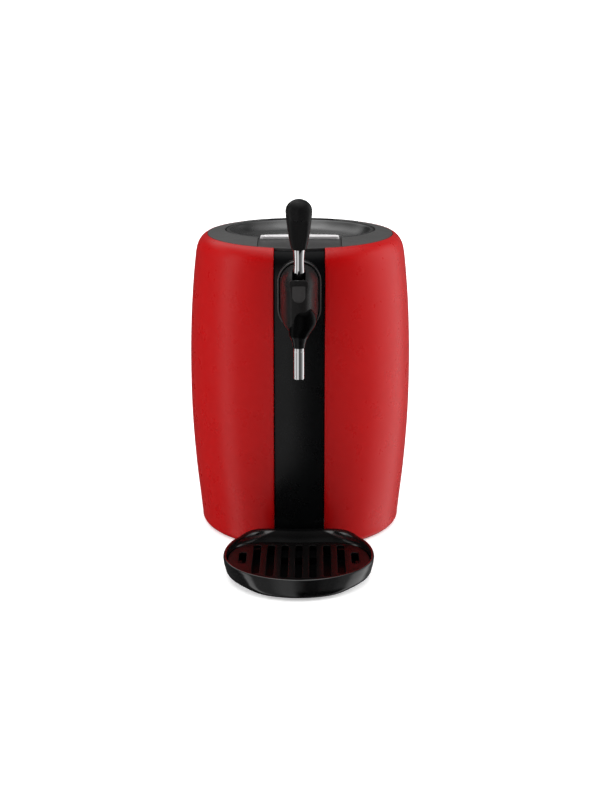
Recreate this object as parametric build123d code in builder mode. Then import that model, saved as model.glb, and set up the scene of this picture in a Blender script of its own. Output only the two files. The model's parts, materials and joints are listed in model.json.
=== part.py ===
from build123d import *
import os
from math import sin, cos, pi, radians, sqrt

# Mini keg beer dispenser: an oval barrel body around a 5 litre keg well, a
# hinged lid on top, a pull tap on the front column and a drip tray that slides
# out forward. Millimetres. +X right, +Y back, +Z up; the origin is on the
# surface it stands on, under the middle of the whole object's plan.

os.makedirs("parts", exist_ok=True)

# ---------------------------------------------------------------- driving sizes
WIDTH = 276.8                 # widest part of the barrel
OVAL = 1.2                    # barrel depth over barrel width
BACK = WIDTH / 2 * OVAL       # reach of the barrel behind its own axis
TRAY_FRONT = 337.0            # reach of the drip tray in front of that axis
YC = (TRAY_FRONT - BACK) / 2  # barrel axis in the row frame
SHELL_T = 3.0                 # wall of the red shells
COL_HALF = 30.0               # half width of the gap for the front column
REAR_HALF = 75.0              # half width of the gap for the rear panel
COL_STEP = 3.3                # the column lies this far inside the barrel
RING_A = 115.9                # half width of the shells' top opening
RING_Z = 368.4                # height of the shells' top edge

WELL_Y = YC + 4.0             # keg well and lid share this axis
WELL_R = 88.0                 # bore for a keg of 172 mm diameter
WELL_FLOOR = 62.0
WELL_TOP = 345.0
FOAM_R = 102.0
BASE_Z = 7.0                  # underside of the base plate

LID_R = 92.4
OPEN_R = 94.0                 # round opening of the collar
LEDGE_R = 89.2                # ledge that the lid's seal lands on
LID_TOP = 372.0
HINGE_Y = YC + 106.0
HINGE_Z = 364.0
TONGUE_HALF = 50.0
TONGUE_Z = 364.8

TAP_Z = 316.5                 # middle of the tap's oval bezel
BEZEL_W, BEZEL_H = 50.0, 81.0
PIVOT_Y, PIVOT_Z = YC - 203.0, 336.0
LEVER_LEAN = radians(9.0)     # the lever leans forward at rest
LEVER_SWING = radians(35.0)
CAM_H = 9.5                   # pivot to the foot of the cam when closed
CAM_LIFT = 3.0                # rise of the plunger over the full pull
PLUNGER_Y = YC - 198.0
TUBE_R, TUBE_BORE = 4.0, 2.5
TUBE_Z = 312.0
SPOUT_Y = YC - 222.0
SPOUT_R = 6.1
SPIGOT_R = 5.9                # the tube's upper end, inside the nozzle
SPOUT_LOW = 229.6

TRAY_Y = YC - 245.0           # widest line of the tray
TRAY_RIM = 26.0

FAN_Z = 190.0


def side_line(t):
    """Half section of the barrel, t inside its outer face, from foot to ring."""
    a = ThreePointArc((113.8, 1.2 + t), (122.2 - 0.7 * t, 4.4 + 0.7 * t), (125.4 - t, 12.0))
    b = Spline(
        (125.4 - t, 12.0), (127.9 - t, 32.0), (131.8 - t, 65.6), (134.6 - t, 97.6),
        (136.7 - t, 129.0), (138.0 - t, 161.0), (138.4 - t, 195.0), (138.2 - t, 226.0),
        (136.7 - t, 270.0), (134.8 - t, 300.0), (132.0 - t, 331.0), (130.3 - t, 346.0),
        tangents=[(0.10, 1.0), (-0.12, 1.0)],
    )
    c = Spline(
        (130.3 - t, 346.0), (128.5 - t, 354.0), (125.4 - 0.9 * t, 360.6 - 0.4 * t),
        (121.5 - 0.65 * t, 365.1 - 0.75 * t), (RING_A - 0.3 * t, RING_Z - 0.97 * t),
        tangents=[(-0.12, 1.0), (-1.0, 0.3)],
    )
    return a, b, c


def barrel_outline(t):
    """Closed half section of a solid barrel, t inside the outer face."""
    a, b, c = side_line(t)
    Line(c @ 1, (0.0, (c @ 1).Y))
    Line((0.0, (c @ 1).Y), (0.0, 1.2 + t))
    Line((0.0, 1.2 + t), a @ 0)


SECTION = Plane(origin=(0, YC, 0), x_dir=(1, 0, 0), z_dir=(0, -1, 0))
BARREL_AXIS = Axis((0, YC, 0), (0, 0, 1))

# Solid barrels at several depths: the skins of the body are cut from them.
with BuildPart() as barrel_0:
    with BuildSketch(SECTION):
        with BuildLine():
            barrel_outline(0.0)
        make_face()
    revolve(axis=BARREL_AXIS)
    scale(by=(1, OVAL, 1), about=(0, YC, 0))

with BuildPart() as barrel_2:
    with BuildSketch(SECTION):
        with BuildLine():
            barrel_outline(2.5)
        make_face()
    revolve(axis=BARREL_AXIS)
    scale(by=(1, OVAL, 1), about=(0, YC, 0))

with BuildPart() as barrel_3:
    with BuildSketch(SECTION):
        with BuildLine():
            barrel_outline(SHELL_T)
        make_face()
    revolve(axis=BARREL_AXIS)
    scale(by=(1, OVAL, 1), about=(0, YC, 0))

with BuildPart() as barrel_col:
    with BuildSketch(SECTION):
        with BuildLine():
            barrel_outline(COL_STEP)
        make_face()
    revolve(axis=BARREL_AXIS)
    scale(by=(1, OVAL, 1), about=(0, YC, 0))

with BuildPart() as barrel_5:
    with BuildSketch(SECTION):
        with BuildLine():
            barrel_outline(COL_STEP + 2.2)
        make_face()
    revolve(axis=BARREL_AXIS)
    scale(by=(1, OVAL, 1), about=(0, YC, 0))

with BuildPart() as barrel_9:
    with BuildSketch(SECTION):
        with BuildLine():
            barrel_outline(9.0)
        make_face()
    revolve(axis=BARREL_AXIS)
    scale(by=(1, OVAL, 1), about=(0, YC, 0))


def box_between(x0, x1, y0, y1, z0, z1, mode=Mode.ADD):
    """A box by its corners; y is measured from the barrel axis."""
    with Locations(((x0 + x1) / 2, YC + (y0 + y1) / 2, (z0 + z1) / 2)):
        Box(x1 - x0, y1 - y0, z1 - z0, mode=mode)


def oval_disc(a, z0, z1, mode=Mode.ADD):
    """An oval slab of the barrel's proportion, half width a."""
    with BuildSketch(Plane(origin=(0, YC, z0))) as sk:
        Ellipse(a, a * OVAL)
    extrude(sk.sketch, amount=z1 - z0, mode=mode)


def disc(r, x, y, z0, z1, mode=Mode.ADD):
    """A round slab; y is measured from the barrel axis."""
    with BuildSketch(Plane(origin=(x, YC + y, z0))) as sk:
        Circle(r)
    extrude(sk.sketch, amount=z1 - z0, mode=mode)


# ------------------------------------------------------------------ red shells
# Each shell runs from the front column round the side to the rear panel. Its
# front edge turns inward as a flange, a lip closes its foot, and two tabs take
# the screws that come up through the base.
def shell_ring():
    add(barrel_0.part)
    add(barrel_3.part, mode=Mode.SUBTRACT)
    oval_disc(108.0, 0.0, 12.0, mode=Mode.SUBTRACT)
    oval_disc(RING_A, 345.0, 380.0, mode=Mode.SUBTRACT)


with BuildPart() as right_shell:
    shell_ring()
    box_between(-150, COL_HALF + 0.2, -170, 0, -5, 380, mode=Mode.SUBTRACT)
    box_between(-150, REAR_HALF + 0.2, 0, 170, -5, 380, mode=Mode.SUBTRACT)
    for y in (-14.0, 14.0):
        box_between(96.0, 123.4, y - 5.0, y + 5.0, BASE_Z + 3.0, BASE_Z + 7.0)
        disc(1.5, 102.0, y, 9.0, 15.0, mode=Mode.SUBTRACT)
right_shell.part.label = "right_shell"

with BuildPart() as left_shell:
    shell_ring()
    box_between(-COL_HALF - 0.2, 150, -170, 0, -5, 380, mode=Mode.SUBTRACT)
    box_between(-REAR_HALF - 0.2, 150, 0, 170, -5, 380, mode=Mode.SUBTRACT)
    for y in (-14.0, 14.0):
        box_between(-123.4, -96.0, y - 5.0, y + 5.0, BASE_Z + 3.0, BASE_Z + 7.0)
        disc(1.5, -102.0, y, 9.0, 15.0, mode=Mode.SUBTRACT)
left_shell.part.label = "left_shell"

# ---------------------------------------------------------------- front column
with BuildPart() as column_flanges:
    add(barrel_5.part)
    add(barrel_9.part, mode=Mode.SUBTRACT)
    for s in (-1, 1):
        box_between(-150 if s < 0 else COL_HALF - 0.3, -COL_HALF + 0.3 if s < 0 else 150,
                    -170, 170, -5, 380, mode=Mode.SUBTRACT)
    box_between(-27.6, 27.6, -170, 170, -5, 380, mode=Mode.SUBTRACT)
    box_between(-150, 150, -60, 170, -5, 380, mode=Mode.SUBTRACT)
    box_between(-150, 150, -170, 170, -5, 16, mode=Mode.SUBTRACT)
    box_between(-150, 150, -170, 170, 340, 380, mode=Mode.SUBTRACT)

with BuildPart() as front_column:
    add(barrel_col.part)
    add(barrel_5.part, mode=Mode.SUBTRACT)
    box_between(-150, -COL_HALF + 0.3, -170, 170, -5, 380, mode=Mode.SUBTRACT)
    box_between(COL_HALF - 0.3, 150, -170, 170, -5, 380, mode=Mode.SUBTRACT)
    box_between(-150, 150, -60, 170, -5, 380, mode=Mode.SUBTRACT)
    box_between(-150, 150, -170, 170, -5, 10.5, mode=Mode.SUBTRACT)
    oval_disc(RING_A, 345.0, 380.0, mode=Mode.SUBTRACT)
    add(column_flanges.part)
    # window for the tap
    with BuildSketch(Plane(origin=(0, YC - 130, TAP_Z), x_dir=(1, 0, 0), z_dir=(0, -1, 0))):
        SlotOverall(BEZEL_H + 0.6, BEZEL_W + 0.6, rotation=90)
    extrude(amount=50, mode=Mode.SUBTRACT)
front_column.part.label = "front_column"

# ------------------------------------------------------------------ rear panel
with BuildPart() as socket_block:
    box_between(-40, 40, 140.0, 166.0, 30.0, 70.0)
    add(barrel_0.part, mode=Mode.INTERSECT)
    box_between(-40, 40, 138.0, 151.0, 30.0, 70.0)
    fillet(socket_block.edges().filter_by(Axis.Y).group_by(Axis.Z)[0], 1.0)

with BuildPart() as rear_panel:
    add(barrel_0.part)
    add(barrel_2.part, mode=Mode.SUBTRACT)
    box_between(-150, -REAR_HALF + 0.2, -170, 170, -5, 380, mode=Mode.SUBTRACT)
    box_between(REAR_HALF - 0.2, 150, -170, 170, -5, 380, mode=Mode.SUBTRACT)
    box_between(-150, 150, -170, 60, -5, 380, mode=Mode.SUBTRACT)
    oval_disc(108.0, 0.0, 12.0, mode=Mode.SUBTRACT)
    oval_disc(RING_A, 345.0, 380.0, mode=Mode.SUBTRACT)
    add(socket_block.part)
    # flat recess for the mains inlet and the switch
    box_between(-38, 38, 151.0, 170.0, 32.0, 68.0, mode=Mode.SUBTRACT)
    box_between(-38, 38, 120.0, 148.5, 32.0, 68.0, mode=Mode.SUBTRACT)
    box_between(8.3, 35.7, 140.0, 155.0, 40.1, 59.9, mode=Mode.SUBTRACT)
    box_between(-26.5, -13.5, 140.0, 155.0, 40.3, 59.7, mode=Mode.SUBTRACT)
    # louvres: warm air out behind the fan, cool air in above and below it
    for k in range(9):
        z = FAN_Z - 28 + 7 * k
        half = sqrt(31.0 ** 2 - min(30.0, abs(z - FAN_Z)) ** 2) + 6
        box_between(-half, half, 130, 170, z - 1.7, z + 1.7, mode=Mode.SUBTRACT)
    for z in (96, 103, 110, 117, 124):
        for s in (-1, 1):
            box_between(min(s * 6, s * 56), max(s * 6, s * 56), 120, 170, z - 1.5, z + 1.5,
                        mode=Mode.SUBTRACT)
rear_panel.part.label = "rear_panel"

# ------------------------------------------------------ base, feet and pillars
PILLARS = [(65.0, 93.0), (-65.0, 93.0), (65.0, -85.0), (-65.0, -85.0)]
FEET = [(72.0, 66.0), (-72.0, 66.0), (72.0, -60.0), (-72.0, -60.0)]

with BuildPart() as base_plate:
    oval_disc(112.0, BASE_Z, BASE_Z + 3.0)
    # ring that carries the foam and the keg
    disc(90.0, 0, 4.0, BASE_Z + 3.0, 46.0)
    disc(86.5, 0, 4.0, BASE_Z + 3.0, 47.0, mode=Mode.SUBTRACT)
    # tongue that the drip tray slides onto
    box_between(-22.0, 22.0, -212.0, -110.0, BASE_Z, BASE_Z + 3.0)
    for x, y in PILLARS:
        disc(1.75, x, y, 5.0, 12.0, mode=Mode.SUBTRACT)
    for s in (-1, 1):
        for y in (-14.0, 14.0):
            disc(1.75, s * 102.0, y, 5.0, 12.0, mode=Mode.SUBTRACT)
    for x, y in FEET:
        disc(4.0, x, y, 5.0, 12.0, mode=Mode.SUBTRACT)
    # drain and air slots
    for k in range(-3, 4):
        box_between(k * 14.0 - 2.0, k * 14.0 + 2.0, -36.0, 44.0, 5.0, 12.0, mode=Mode.SUBTRACT)
base_plate.part.label = "base_plate"

with BuildPart() as rubber_feet:
    for x, y in FEET:
        with BuildSketch(Plane(origin=(x, YC + y, 0))):
            Circle(10.5)
        with BuildSketch(Plane(origin=(x, YC + y, BASE_Z))):
            Circle(12.0)
        loft()
        disc(3.9, x, y, BASE_Z, BASE_Z + 3.05)
        disc(4.8, x, y, BASE_Z + 3.05, BASE_Z + 4.4)
rubber_feet.part.label = "rubber_feet"

with BuildPart() as support_pillars:
    for x, y in PILLARS:
        disc(6.0, x, y, BASE_Z + 3.0, 346.0)
        disc(3.0, x, y, 346.0, 353.0)
        disc(1.5, x, y, BASE_Z + 3.0, 25.0, mode=Mode.SUBTRACT)
support_pillars.part.label = "support_pillars"


def pan_screw(x, y, z, r_head, r_shank, length):
    """Pan head screw driven upward, its head's seat at height z."""
    disc(r_head, x, y, z - 1.8, z)
    disc(r_shank, x, y, z, z + length)
    box_between(x - 0.45, x + 0.45, y - r_head * 0.62, y + r_head * 0.62, z - 1.8, z - 0.8,
                mode=Mode.SUBTRACT)
    box_between(x - r_head * 0.62, x + r_head * 0.62, y - 0.45, y + 0.45, z - 1.8, z - 0.8,
                mode=Mode.SUBTRACT)


with BuildPart() as pillar_screws:
    for x, y in PILLARS:
        pan_screw(x, y, BASE_Z, 3.6, 1.5, 16.0)
pillar_screws.part.label = "pillar_screws"

with BuildPart() as shell_screws:
    for s in (-1, 1):
        for y in (-14.0, 14.0):
            pan_screw(s * 102.0, y, BASE_Z, 3.2, 1.5, 6.5)
shell_screws.part.label = "shell_screws"

# ------------------------------------------------------------------ top collar
# The deck rises from the oval ring to the round lid opening. The lid's front
# tongue takes the place of the deck over the front pocket.
with BuildPart() as deck_outer:
    oval_disc(115.4, 346.0, 368.2)
    with BuildSketch(Plane(origin=(0, YC, 368.2))):
        Ellipse(115.4, 115.4 * OVAL)
    with BuildSketch(Plane(origin=(0, WELL_Y, LID_TOP))):
        Circle(97.0)
    loft()

with BuildPart() as deck_inner:
    oval_disc(112.9, 340.0, 365.7)
    with BuildSketch(Plane(origin=(0, YC, 365.7))):
        Ellipse(112.9, 112.9 * OVAL)
    with BuildSketch(Plane(origin=(0, WELL_Y, LID_TOP - 2.5))):
        Circle(94.5)
    loft()

with BuildPart() as top_collar:
    add(deck_outer.part)
    add(deck_inner.part, mode=Mode.SUBTRACT)
    # round wall of the opening, with the ledge that the lid's seal lands on
    disc(96.4, 0, 4.0, WELL_TOP, 370.5)
    disc(OPEN_R, 0, 4.0, 361.0, 380.0, mode=Mode.SUBTRACT)
    disc(LEDGE_R, 0, 4.0, 340.0, 380.0, mode=Mode.SUBTRACT)
    # room for the tongue
    box_between(-TONGUE_HALF - 0.4, TONGUE_HALF + 0.4, -150, -60, TONGUE_Z - 0.4, 380,
                mode=Mode.SUBTRACT)
    # pocket under the tongue: floor and side walls
    box_between(-52.0, 52.0, -122.0, -90.0, 346.0, 348.0)
    for s in (-1, 1):
        box_between(min(s * 50.4, s * 52.4), max(s * 50.4, s * 52.4), -121.0, -84.0, 346.0, 366.0)
    disc(6.6, 0, -115.0, 340, 350, mode=Mode.SUBTRACT)
    disc(LEDGE_R, 0, 4.0, 340.0, 380.0, mode=Mode.SUBTRACT)
    # notch, floor and back wall of the hinge
    box_between(-43, 43, 88, 118, 352, 380, mode=Mode.SUBTRACT)
    box_between(-45, 45, 96.5, 120, 350, 352)
    box_between(-45, 45, 118, 120, 350, 368.6)
    for s in (-1, 1):
        box_between(min(s * 43, s * 45), max(s * 43, s * 45), 97.0, 120, 350, 369.0)
        box_between(min(s * 31, s * 41), max(s * 31, s * 41), 100.5, 111.5, 351.0, 364.0)
        with BuildSketch(Plane(origin=(s * 36.0, HINGE_Y, HINGE_Z), x_dir=(0, 1, 0), z_dir=(1, 0, 0))):
            Circle(5.5)
        extrude(amount=5.0, both=True)
    with BuildSketch(Plane(origin=(0, HINGE_Y, HINGE_Z), x_dir=(0, 1, 0), z_dir=(1, 0, 0))):
        Circle(2.0)
    extrude(amount=42.0, both=True, mode=Mode.SUBTRACT)
    # sockets for the pillars
    for x, y in PILLARS:
        disc(6.0, x, y, 346.0, 367.4)
        disc(3.0, x, y, 345.0, 353.0, mode=Mode.SUBTRACT)
top_collar.part.label = "top_collar"

# ---------------------------------------------------- keg well and insulation
with BuildPart() as keg_well_liner:
    disc(WELL_R + 2.0, 0, 4.0, WELL_FLOOR - 2.0, WELL_TOP)
    disc(97.5, 0, 4.0, WELL_TOP - 2.0, WELL_TOP)
    disc(WELL_R, 0, 4.0, WELL_FLOOR, WELL_TOP + 5.0, mode=Mode.SUBTRACT)
    # shallow sump in the middle of the floor for condensed water
    disc(30.0, 0, 4.0, WELL_FLOOR - 3.5, WELL_FLOOR - 1.5)
    disc(28.0, 0, 4.0, WELL_FLOOR - 1.9, WELL_FLOOR + 1.0, mode=Mode.SUBTRACT)
keg_well_liner.part.label = "keg_well_liner"

BLOCK_Z0, BLOCK_Z1 = FAN_Z - 30.0, FAN_Z + 30.0
SENSOR_X, SENSOR_Y = 53.6, 80.3

with BuildPart() as insulation_foam:
    disc(FOAM_R, 0, 4.0, 46.2, WELL_TOP - 7.0)
    disc(WELL_R + 2.0, 0, 4.0, WELL_FLOOR - 2.0, WELL_TOP, mode=Mode.SUBTRACT)
    disc(30.2, 0, 4.0, WELL_FLOOR - 3.8, WELL_FLOOR, mode=Mode.SUBTRACT)
    box_between(-26.0, 26.0, 60.0, 120.0, BLOCK_Z0 - 1.0, BLOCK_Z1 + 1.0, mode=Mode.SUBTRACT)
    disc(3.3, SENSOR_X, SENSOR_Y, 99.0, 127.0, mode=Mode.SUBTRACT)
insulation_foam.part.label = "insulation_foam"

# ------------------------------------------------------ thermoelectric cooling
with BuildPart() as cold_block:
    box_between(-25.0, 25.0, 84.0, 108.0, BLOCK_Z0, BLOCK_Z1)
    disc(WELL_R + 2.0, 0, 4.0, BLOCK_Z0 - 5, BLOCK_Z1 + 5, mode=Mode.SUBTRACT)
cold_block.part.label = "cold_block"

with BuildPart() as peltier_module:
    box_between(-20.0, 20.0, 108.0, 109.0, FAN_Z - 20, FAN_Z + 20)
    box_between(-18.8, 18.8, 109.0, 110.8, FAN_Z - 18.8, FAN_Z + 18.8)
    box_between(-20.0, 20.0, 110.8, 111.8, FAN_Z - 20, FAN_Z + 20)
    for s in (-1, 1):
        box_between(s * 14 - 1.0, s * 14 + 1.0, 109.2, 110.6, FAN_Z - 27, FAN_Z - 18)
peltier_module.part.label = "peltier_module"

with BuildPart() as heat_sink:
    box_between(-30, 30, 111.8, 116.8, FAN_Z - 32, FAN_Z + 32)
    for k in range(10):
        x = -28.8 + 6.4 * k
        box_between(x - 0.9, x + 0.9, 116.8, 142.6, FAN_Z - 32, FAN_Z + 32)
    for sx in (-1, 1):
        for sz in (-1, 1):
            box_between(sx * 25 - 3.4, sx * 25 + 3.4, 116.8, 142.6, FAN_Z + sz * 25 - 3, FAN_Z + sz * 25 + 3)
            with BuildSketch(Plane(origin=(sx * 25, YC + 143, FAN_Z + sz * 25), x_dir=(1, 0, 0), z_dir=(0, -1, 0))):
                Circle(1.5)
            extrude(amount=12.0, mode=Mode.SUBTRACT)
heat_sink.part.label = "heat_sink"

FAN_PLANE = Plane(origin=(0, YC + 142.7, FAN_Z), x_dir=(-1, 0, 0), z_dir=(0, 1, 0))
with BuildPart() as fan_frame:
    with BuildSketch(FAN_PLANE):
        RectangleRounded(60, 60, 3)
        Circle(28.2, mode=Mode.SUBTRACT)
        with GridLocations(50, 50, 2, 2):
            Circle(1.7, mode=Mode.SUBTRACT)
    extrude(amount=12.0)
    # hub plate and three spokes on the side that faces the heat sink
    with BuildSketch(FAN_PLANE):
        Circle(11.0)
        for a in (90, 210, 330):
            with Locations(Location((20 * cos(radians(a)), 20 * sin(radians(a)), 0), a)):
                Rectangle(20.0, 3.0)
    extrude(amount=1.6)
    with BuildSketch(FAN_PLANE):
        Circle(1.5)
    extrude(amount=5.0)
fan_frame.part.label = "fan_frame"

with BuildPart() as fan_rotor:
    with BuildSketch(FAN_PLANE.offset(2.4)):
        Circle(11.0)
    extrude(amount=8.2)
    fillet(fan_rotor.faces().sort_by(Axis.Y)[-1].edges(), 1.6)
    for k in range(7):
        # pitched blades, rooted in the hub
        with Locations(
            FAN_PLANE.offset(6.2).location
            * Location((0, 0, 0), (0, 0, 360.0 / 7 * k))
            * Location((18.4, 0, 0), (32, 0, 0))
        ):
            Box(17.4, 12.0, 1.3)
    with BuildSketch(FAN_PLANE.offset(1.7)):
        Circle(1.56)
    extrude(amount=4.0, mode=Mode.SUBTRACT)
fan_rotor.part.label = "fan_rotor"

with BuildPart() as fan_screws:
    for sx in (-1, 1):
        for sz in (-1, 1):
            with BuildSketch(Plane(origin=(sx * 25, YC + 154.7, FAN_Z + sz * 25), x_dir=(-1, 0, 0), z_dir=(0, 1, 0))):
                Circle(2.8)
            extrude(amount=1.5)
            with BuildSketch(Plane(origin=(sx * 25, YC + 154.7, FAN_Z + sz * 25), x_dir=(-1, 0, 0), z_dir=(0, 1, 0))):
                Circle(1.5)
            extrude(amount=-20.0)
fan_screws.part.label = "fan_screws"

with BuildPart() as temperature_sensor:
    disc(3.0, SENSOR_X, SENSOR_Y, 100.0, 126.0)
    fillet(temperature_sensor.edges().group_by(Axis.Z)[-1], 1.4)
temperature_sensor.part.label = "temperature_sensor"

# ---------------------------------------------------------- power and switching
with BuildPart() as board_bracket:
    box_between(-36, 36, -108.4, -107.0, BASE_Z + 3.0, 184.0)
    box_between(-36, 36, -118.0, -107.0, BASE_Z + 3.0, BASE_Z + 4.5)
    for x in (-33, 33):
        for z in (76.0, 170.0):
            with BuildSketch(Plane(origin=(x, YC - 108.4, z), x_dir=(1, 0, 0), z_dir=(0, -1, 0))):
                Circle(2.6)
            extrude(amount=4.0)
            with BuildSketch(Plane(origin=(x, YC - 106.0, z), x_dir=(1, 0, 0), z_dir=(0, -1, 0))):
                Circle(1.2)
            extrude(amount=10.0, mode=Mode.SUBTRACT)
board_bracket.part.label = "board_bracket"

with BuildPart() as power_board:
    box_between(-37, 37, -114.0, -112.4, 70.0, 176.0)
    box_between(-24, 12, -133.0, -114.0, 92.0, 122.0)
    box_between(-18, 6, -138.0, -114.0, 88.0, 126.0)
    for x, z, r in ((24, 96, 6.5), (24, 114, 6.5), (-26, 140, 5.0)):
        with BuildSketch(Plane(origin=(x, YC - 114, z), x_dir=(1, 0, 0), z_dir=(0, -1, 0))):
            Circle(r)
        extrude(amount=20.0)
    box_between(-12, 22, -132.0, -114.0, 140.0, 143.0)
    box_between(-4, 4, -122.0, -114.0, 136.0, 140.0)
    box_between(-28, -12, -124.0, -114.0, 156.0, 166.0)
    box_between(2, 26, -122.0, -114.0, 157.0, 166.0)
    for x in (-33, 33):
        for z in (76.0, 170.0):
            with BuildSketch(Plane(origin=(x, YC - 110.0, z), x_dir=(1, 0, 0), z_dir=(0, -1, 0))):
                Circle(1.3)
            extrude(amount=6.0, mode=Mode.SUBTRACT)
power_board.part.label = "power_board"

with BuildPart() as board_screws:
    for x in (-33, 33):
        for z in (76.0, 170.0):
            with BuildSketch(Plane(origin=(x, YC - 114.0, z), x_dir=(1, 0, 0), z_dir=(0, -1, 0))):
                Circle(2.3)
            extrude(amount=1.6)
            with BuildSketch(Plane(origin=(x, YC - 114.0, z), x_dir=(1, 0, 0), z_dir=(0, -1, 0))):
                Circle(1.2)
            extrude(amount=-6.5)
board_screws.part.label = "board_screws"

INLET = Plane(origin=(22.0, YC + 151.0, 50.0), x_dir=(-1, 0, 0), z_dir=(0, 1, 0))
with BuildPart() as mains_inlet:
    with BuildSketch(INLET):
        RectangleRounded(31.0, 25.0, 3.0)
    extrude(amount=2.2)
    with BuildSketch(INLET):
        Rectangle(27.0, 19.4)
    extrude(amount=-22.0)
    with BuildSketch(INLET.offset(3.0)):
        with BuildLine():
            Polyline((-11.9, -7.4), (11.9, -7.4), (11.9, 4.0), (8.0, 7.6), (-8.0, 7.6), (-11.9, 4.0), close=True)
        make_face()
    extrude(amount=-20.0, mode=Mode.SUBTRACT)
    fillet(mains_inlet.faces().sort_by(Axis.Y)[-1].outer_wire().edges(), 0.8)
mains_inlet.part.label = "mains_inlet"

with BuildPart() as inlet_pins:
    for x, z in ((7.0, -1.8), (-7.0, -1.8), (0.0, 2.2)):
        with BuildSketch(INLET.offset(-17.0)):
            with Locations((x, z)):
                RectangleRounded(2.0, 4.0, 0.4)
        extrude(amount=15.0)
inlet_pins.part.label = "inlet_pins"

SWITCH = Plane(origin=(-20.0, YC + 151.0, 50.0), x_dir=(-1, 0, 0), z_dir=(0, 1, 0))
ROCK_Y = YC + 149.6
with BuildPart() as switch_housing:
    with BuildSketch(SWITCH):
        RectangleRounded(15.6, 22.0, 1.5)
    extrude(amount=1.7)
    with BuildSketch(SWITCH):
        Rectangle(12.8, 19.2)
    extrude(amount=-15.0)
    with BuildSketch(SWITCH.offset(3.0)):
        Rectangle(10.4, 16.4)
    extrude(amount=-12.0, mode=Mode.SUBTRACT)
    with BuildSketch(Plane(origin=(-20.0, ROCK_Y, 50.0), x_dir=(0, 1, 0), z_dir=(1, 0, 0))):
        Circle(1.27)
    extrude(amount=6.0, both=True, mode=Mode.SUBTRACT)
switch_housing.part.label = "switch_housing"

with BuildPart() as power_rocker:
    # profile across the pivot, tipped to the off side
    tip = radians(-7.0)
    pts = [(-3.0, -3.0), (0.4, -6.6), (3.9, -6.5), (2.9, 0.0), (3.9, 6.5), (0.4, 6.6), (-3.0, 3.0)]
    turned = [(u * cos(tip) - w * sin(tip), u * sin(tip) + w * cos(tip)) for u, w in pts]
    with BuildSketch(Plane(origin=(-20.0, ROCK_Y, 50.0), x_dir=(0, 1, 0), z_dir=(1, 0, 0))):
        with BuildLine():
            Polyline(*turned, close=True)
        make_face()
    extrude(amount=4.9, both=True)
    with BuildSketch(Plane(origin=(-20.0, ROCK_Y, 50.0), x_dir=(0, 1, 0), z_dir=(1, 0, 0))):
        Circle(1.2)
    extrude(amount=5.9, both=True)
power_rocker.part.label = "power_rocker"

# ------------------------------------------------------------------------- lid
LID_SECTION = Plane(origin=(0, WELL_Y, 0), x_dir=(1, 0, 0), z_dir=(0, -1, 0))
LID_AXIS = Axis((0, WELL_Y, 0), (0, 0, 1))
LID_BOSSES = [(60.0, 40.0), (-60.0, 40.0), (60.0, -30.0), (-60.0, -30.0)]
GRIP_PTS = dict(back=-61.0, side=-84.0, front=-88.0, half=47.5)

with BuildPart() as lid_dish:
    with BuildSketch(LID_SECTION):
        with BuildLine():
            # flat floor, steep wall, rolled edge and a narrow level lip
            top = Spline((0, 357.6), (48, 357.9), (68, 359.4), (78, 362.6), (84.2, 367.4), (87.6, 371.2),
                         tangents=[(1, 0), (0.62, 0.78)])
            roll = ThreePointArc(top @ 1, (88.5, 371.8), (89.6, LID_TOP))
            Line(roll @ 1, (LID_R - 1.2, LID_TOP))
            edge = ThreePointArc((LID_R - 1.2, LID_TOP), (LID_R - 0.35, 371.65), (LID_R, 370.8))
            Polyline(edge @ 1, (LID_R, 366.0), (86.4, 366.0))
            low = Spline((86.4, 366.0), (79.4, 360.4), (68.5, 356.9), (48, 355.3), (0, 355.0),
                         tangents=[(-0.7, -0.7), (-1, 0)])
            Line(low @ 1, top @ 0)
        make_face()
    revolve(axis=LID_AXIS)

with BuildPart() as tongue:
    add(deck_outer.part)
    box_between(-150, -TONGUE_HALF, -170, 170, 300, 400, mode=Mode.SUBTRACT)
    box_between(TONGUE_HALF, 150, -170, 170, 300, 400, mode=Mode.SUBTRACT)
    box_between(-150, 150, -70, 170, 300, 400, mode=Mode.SUBTRACT)
    box_between(-150, 150, -170, 170, 300, TONGUE_Z, mode=Mode.SUBTRACT)
    disc(90.0, 0, 4.0, 300, 400, mode=Mode.SUBTRACT)
    disc(LID_R - 0.1, 0, 4.0, 300, 366.0, mode=Mode.SUBTRACT)

with BuildPart() as lid_shell:
    add(lid_dish.part)
    add(tongue.part)
    # pedestal of the grip strip
    with BuildSketch(Plane(origin=(0, YC, 366.1))):
        with BuildLine():
            ThreePointArc((-46.7, -83.6), (0, -61.8), (46.7, -83.6))
            Polyline((46.7, -83.6), (44.0, -87.2), (-44.0, -87.2), (-46.7, -83.6))
        make_face()
    extrude(amount=370.9 - 366.1)
    with BuildSketch(Plane(origin=(0, YC, 370.9))):
        with BuildLine():
            ThreePointArc((-47.8, -84.1), (0, -60.7), (47.8, -84.1))
            Polyline((47.8, -84.1), (44.7, -88.3), (-44.7, -88.3), (-47.8, -84.1))
        make_face()
    extrude(amount=4.0, mode=Mode.SUBTRACT)
    # arm and knuckle of the hinge
    box_between(-29.5, 29.5, 90.0, 106.0, 366.0, 368.6)
    with BuildSketch(Plane(origin=(0, HINGE_Y, HINGE_Z), x_dir=(0, 1, 0), z_dir=(1, 0, 0))):
        Circle(4.6)
    extrude(amount=29.5, both=True)
    with BuildSketch(Plane(origin=(0, HINGE_Y, HINGE_Z), x_dir=(0, 1, 0), z_dir=(1, 0, 0))):
        Circle(2.06)
    extrude(amount=30.5, both=True, mode=Mode.SUBTRACT)
    # bosses for the inner cover's screws
    for x, y in LID_BOSSES:
        disc(4.0, x, y + 4.0, 351.6, 358.8)
        disc(1.5, x, y + 4.0, 351.0, 357.2, mode=Mode.SUBTRACT)
    disc(2.0, 39.0, -84.0, 367.0, 376.0, mode=Mode.SUBTRACT)
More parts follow.
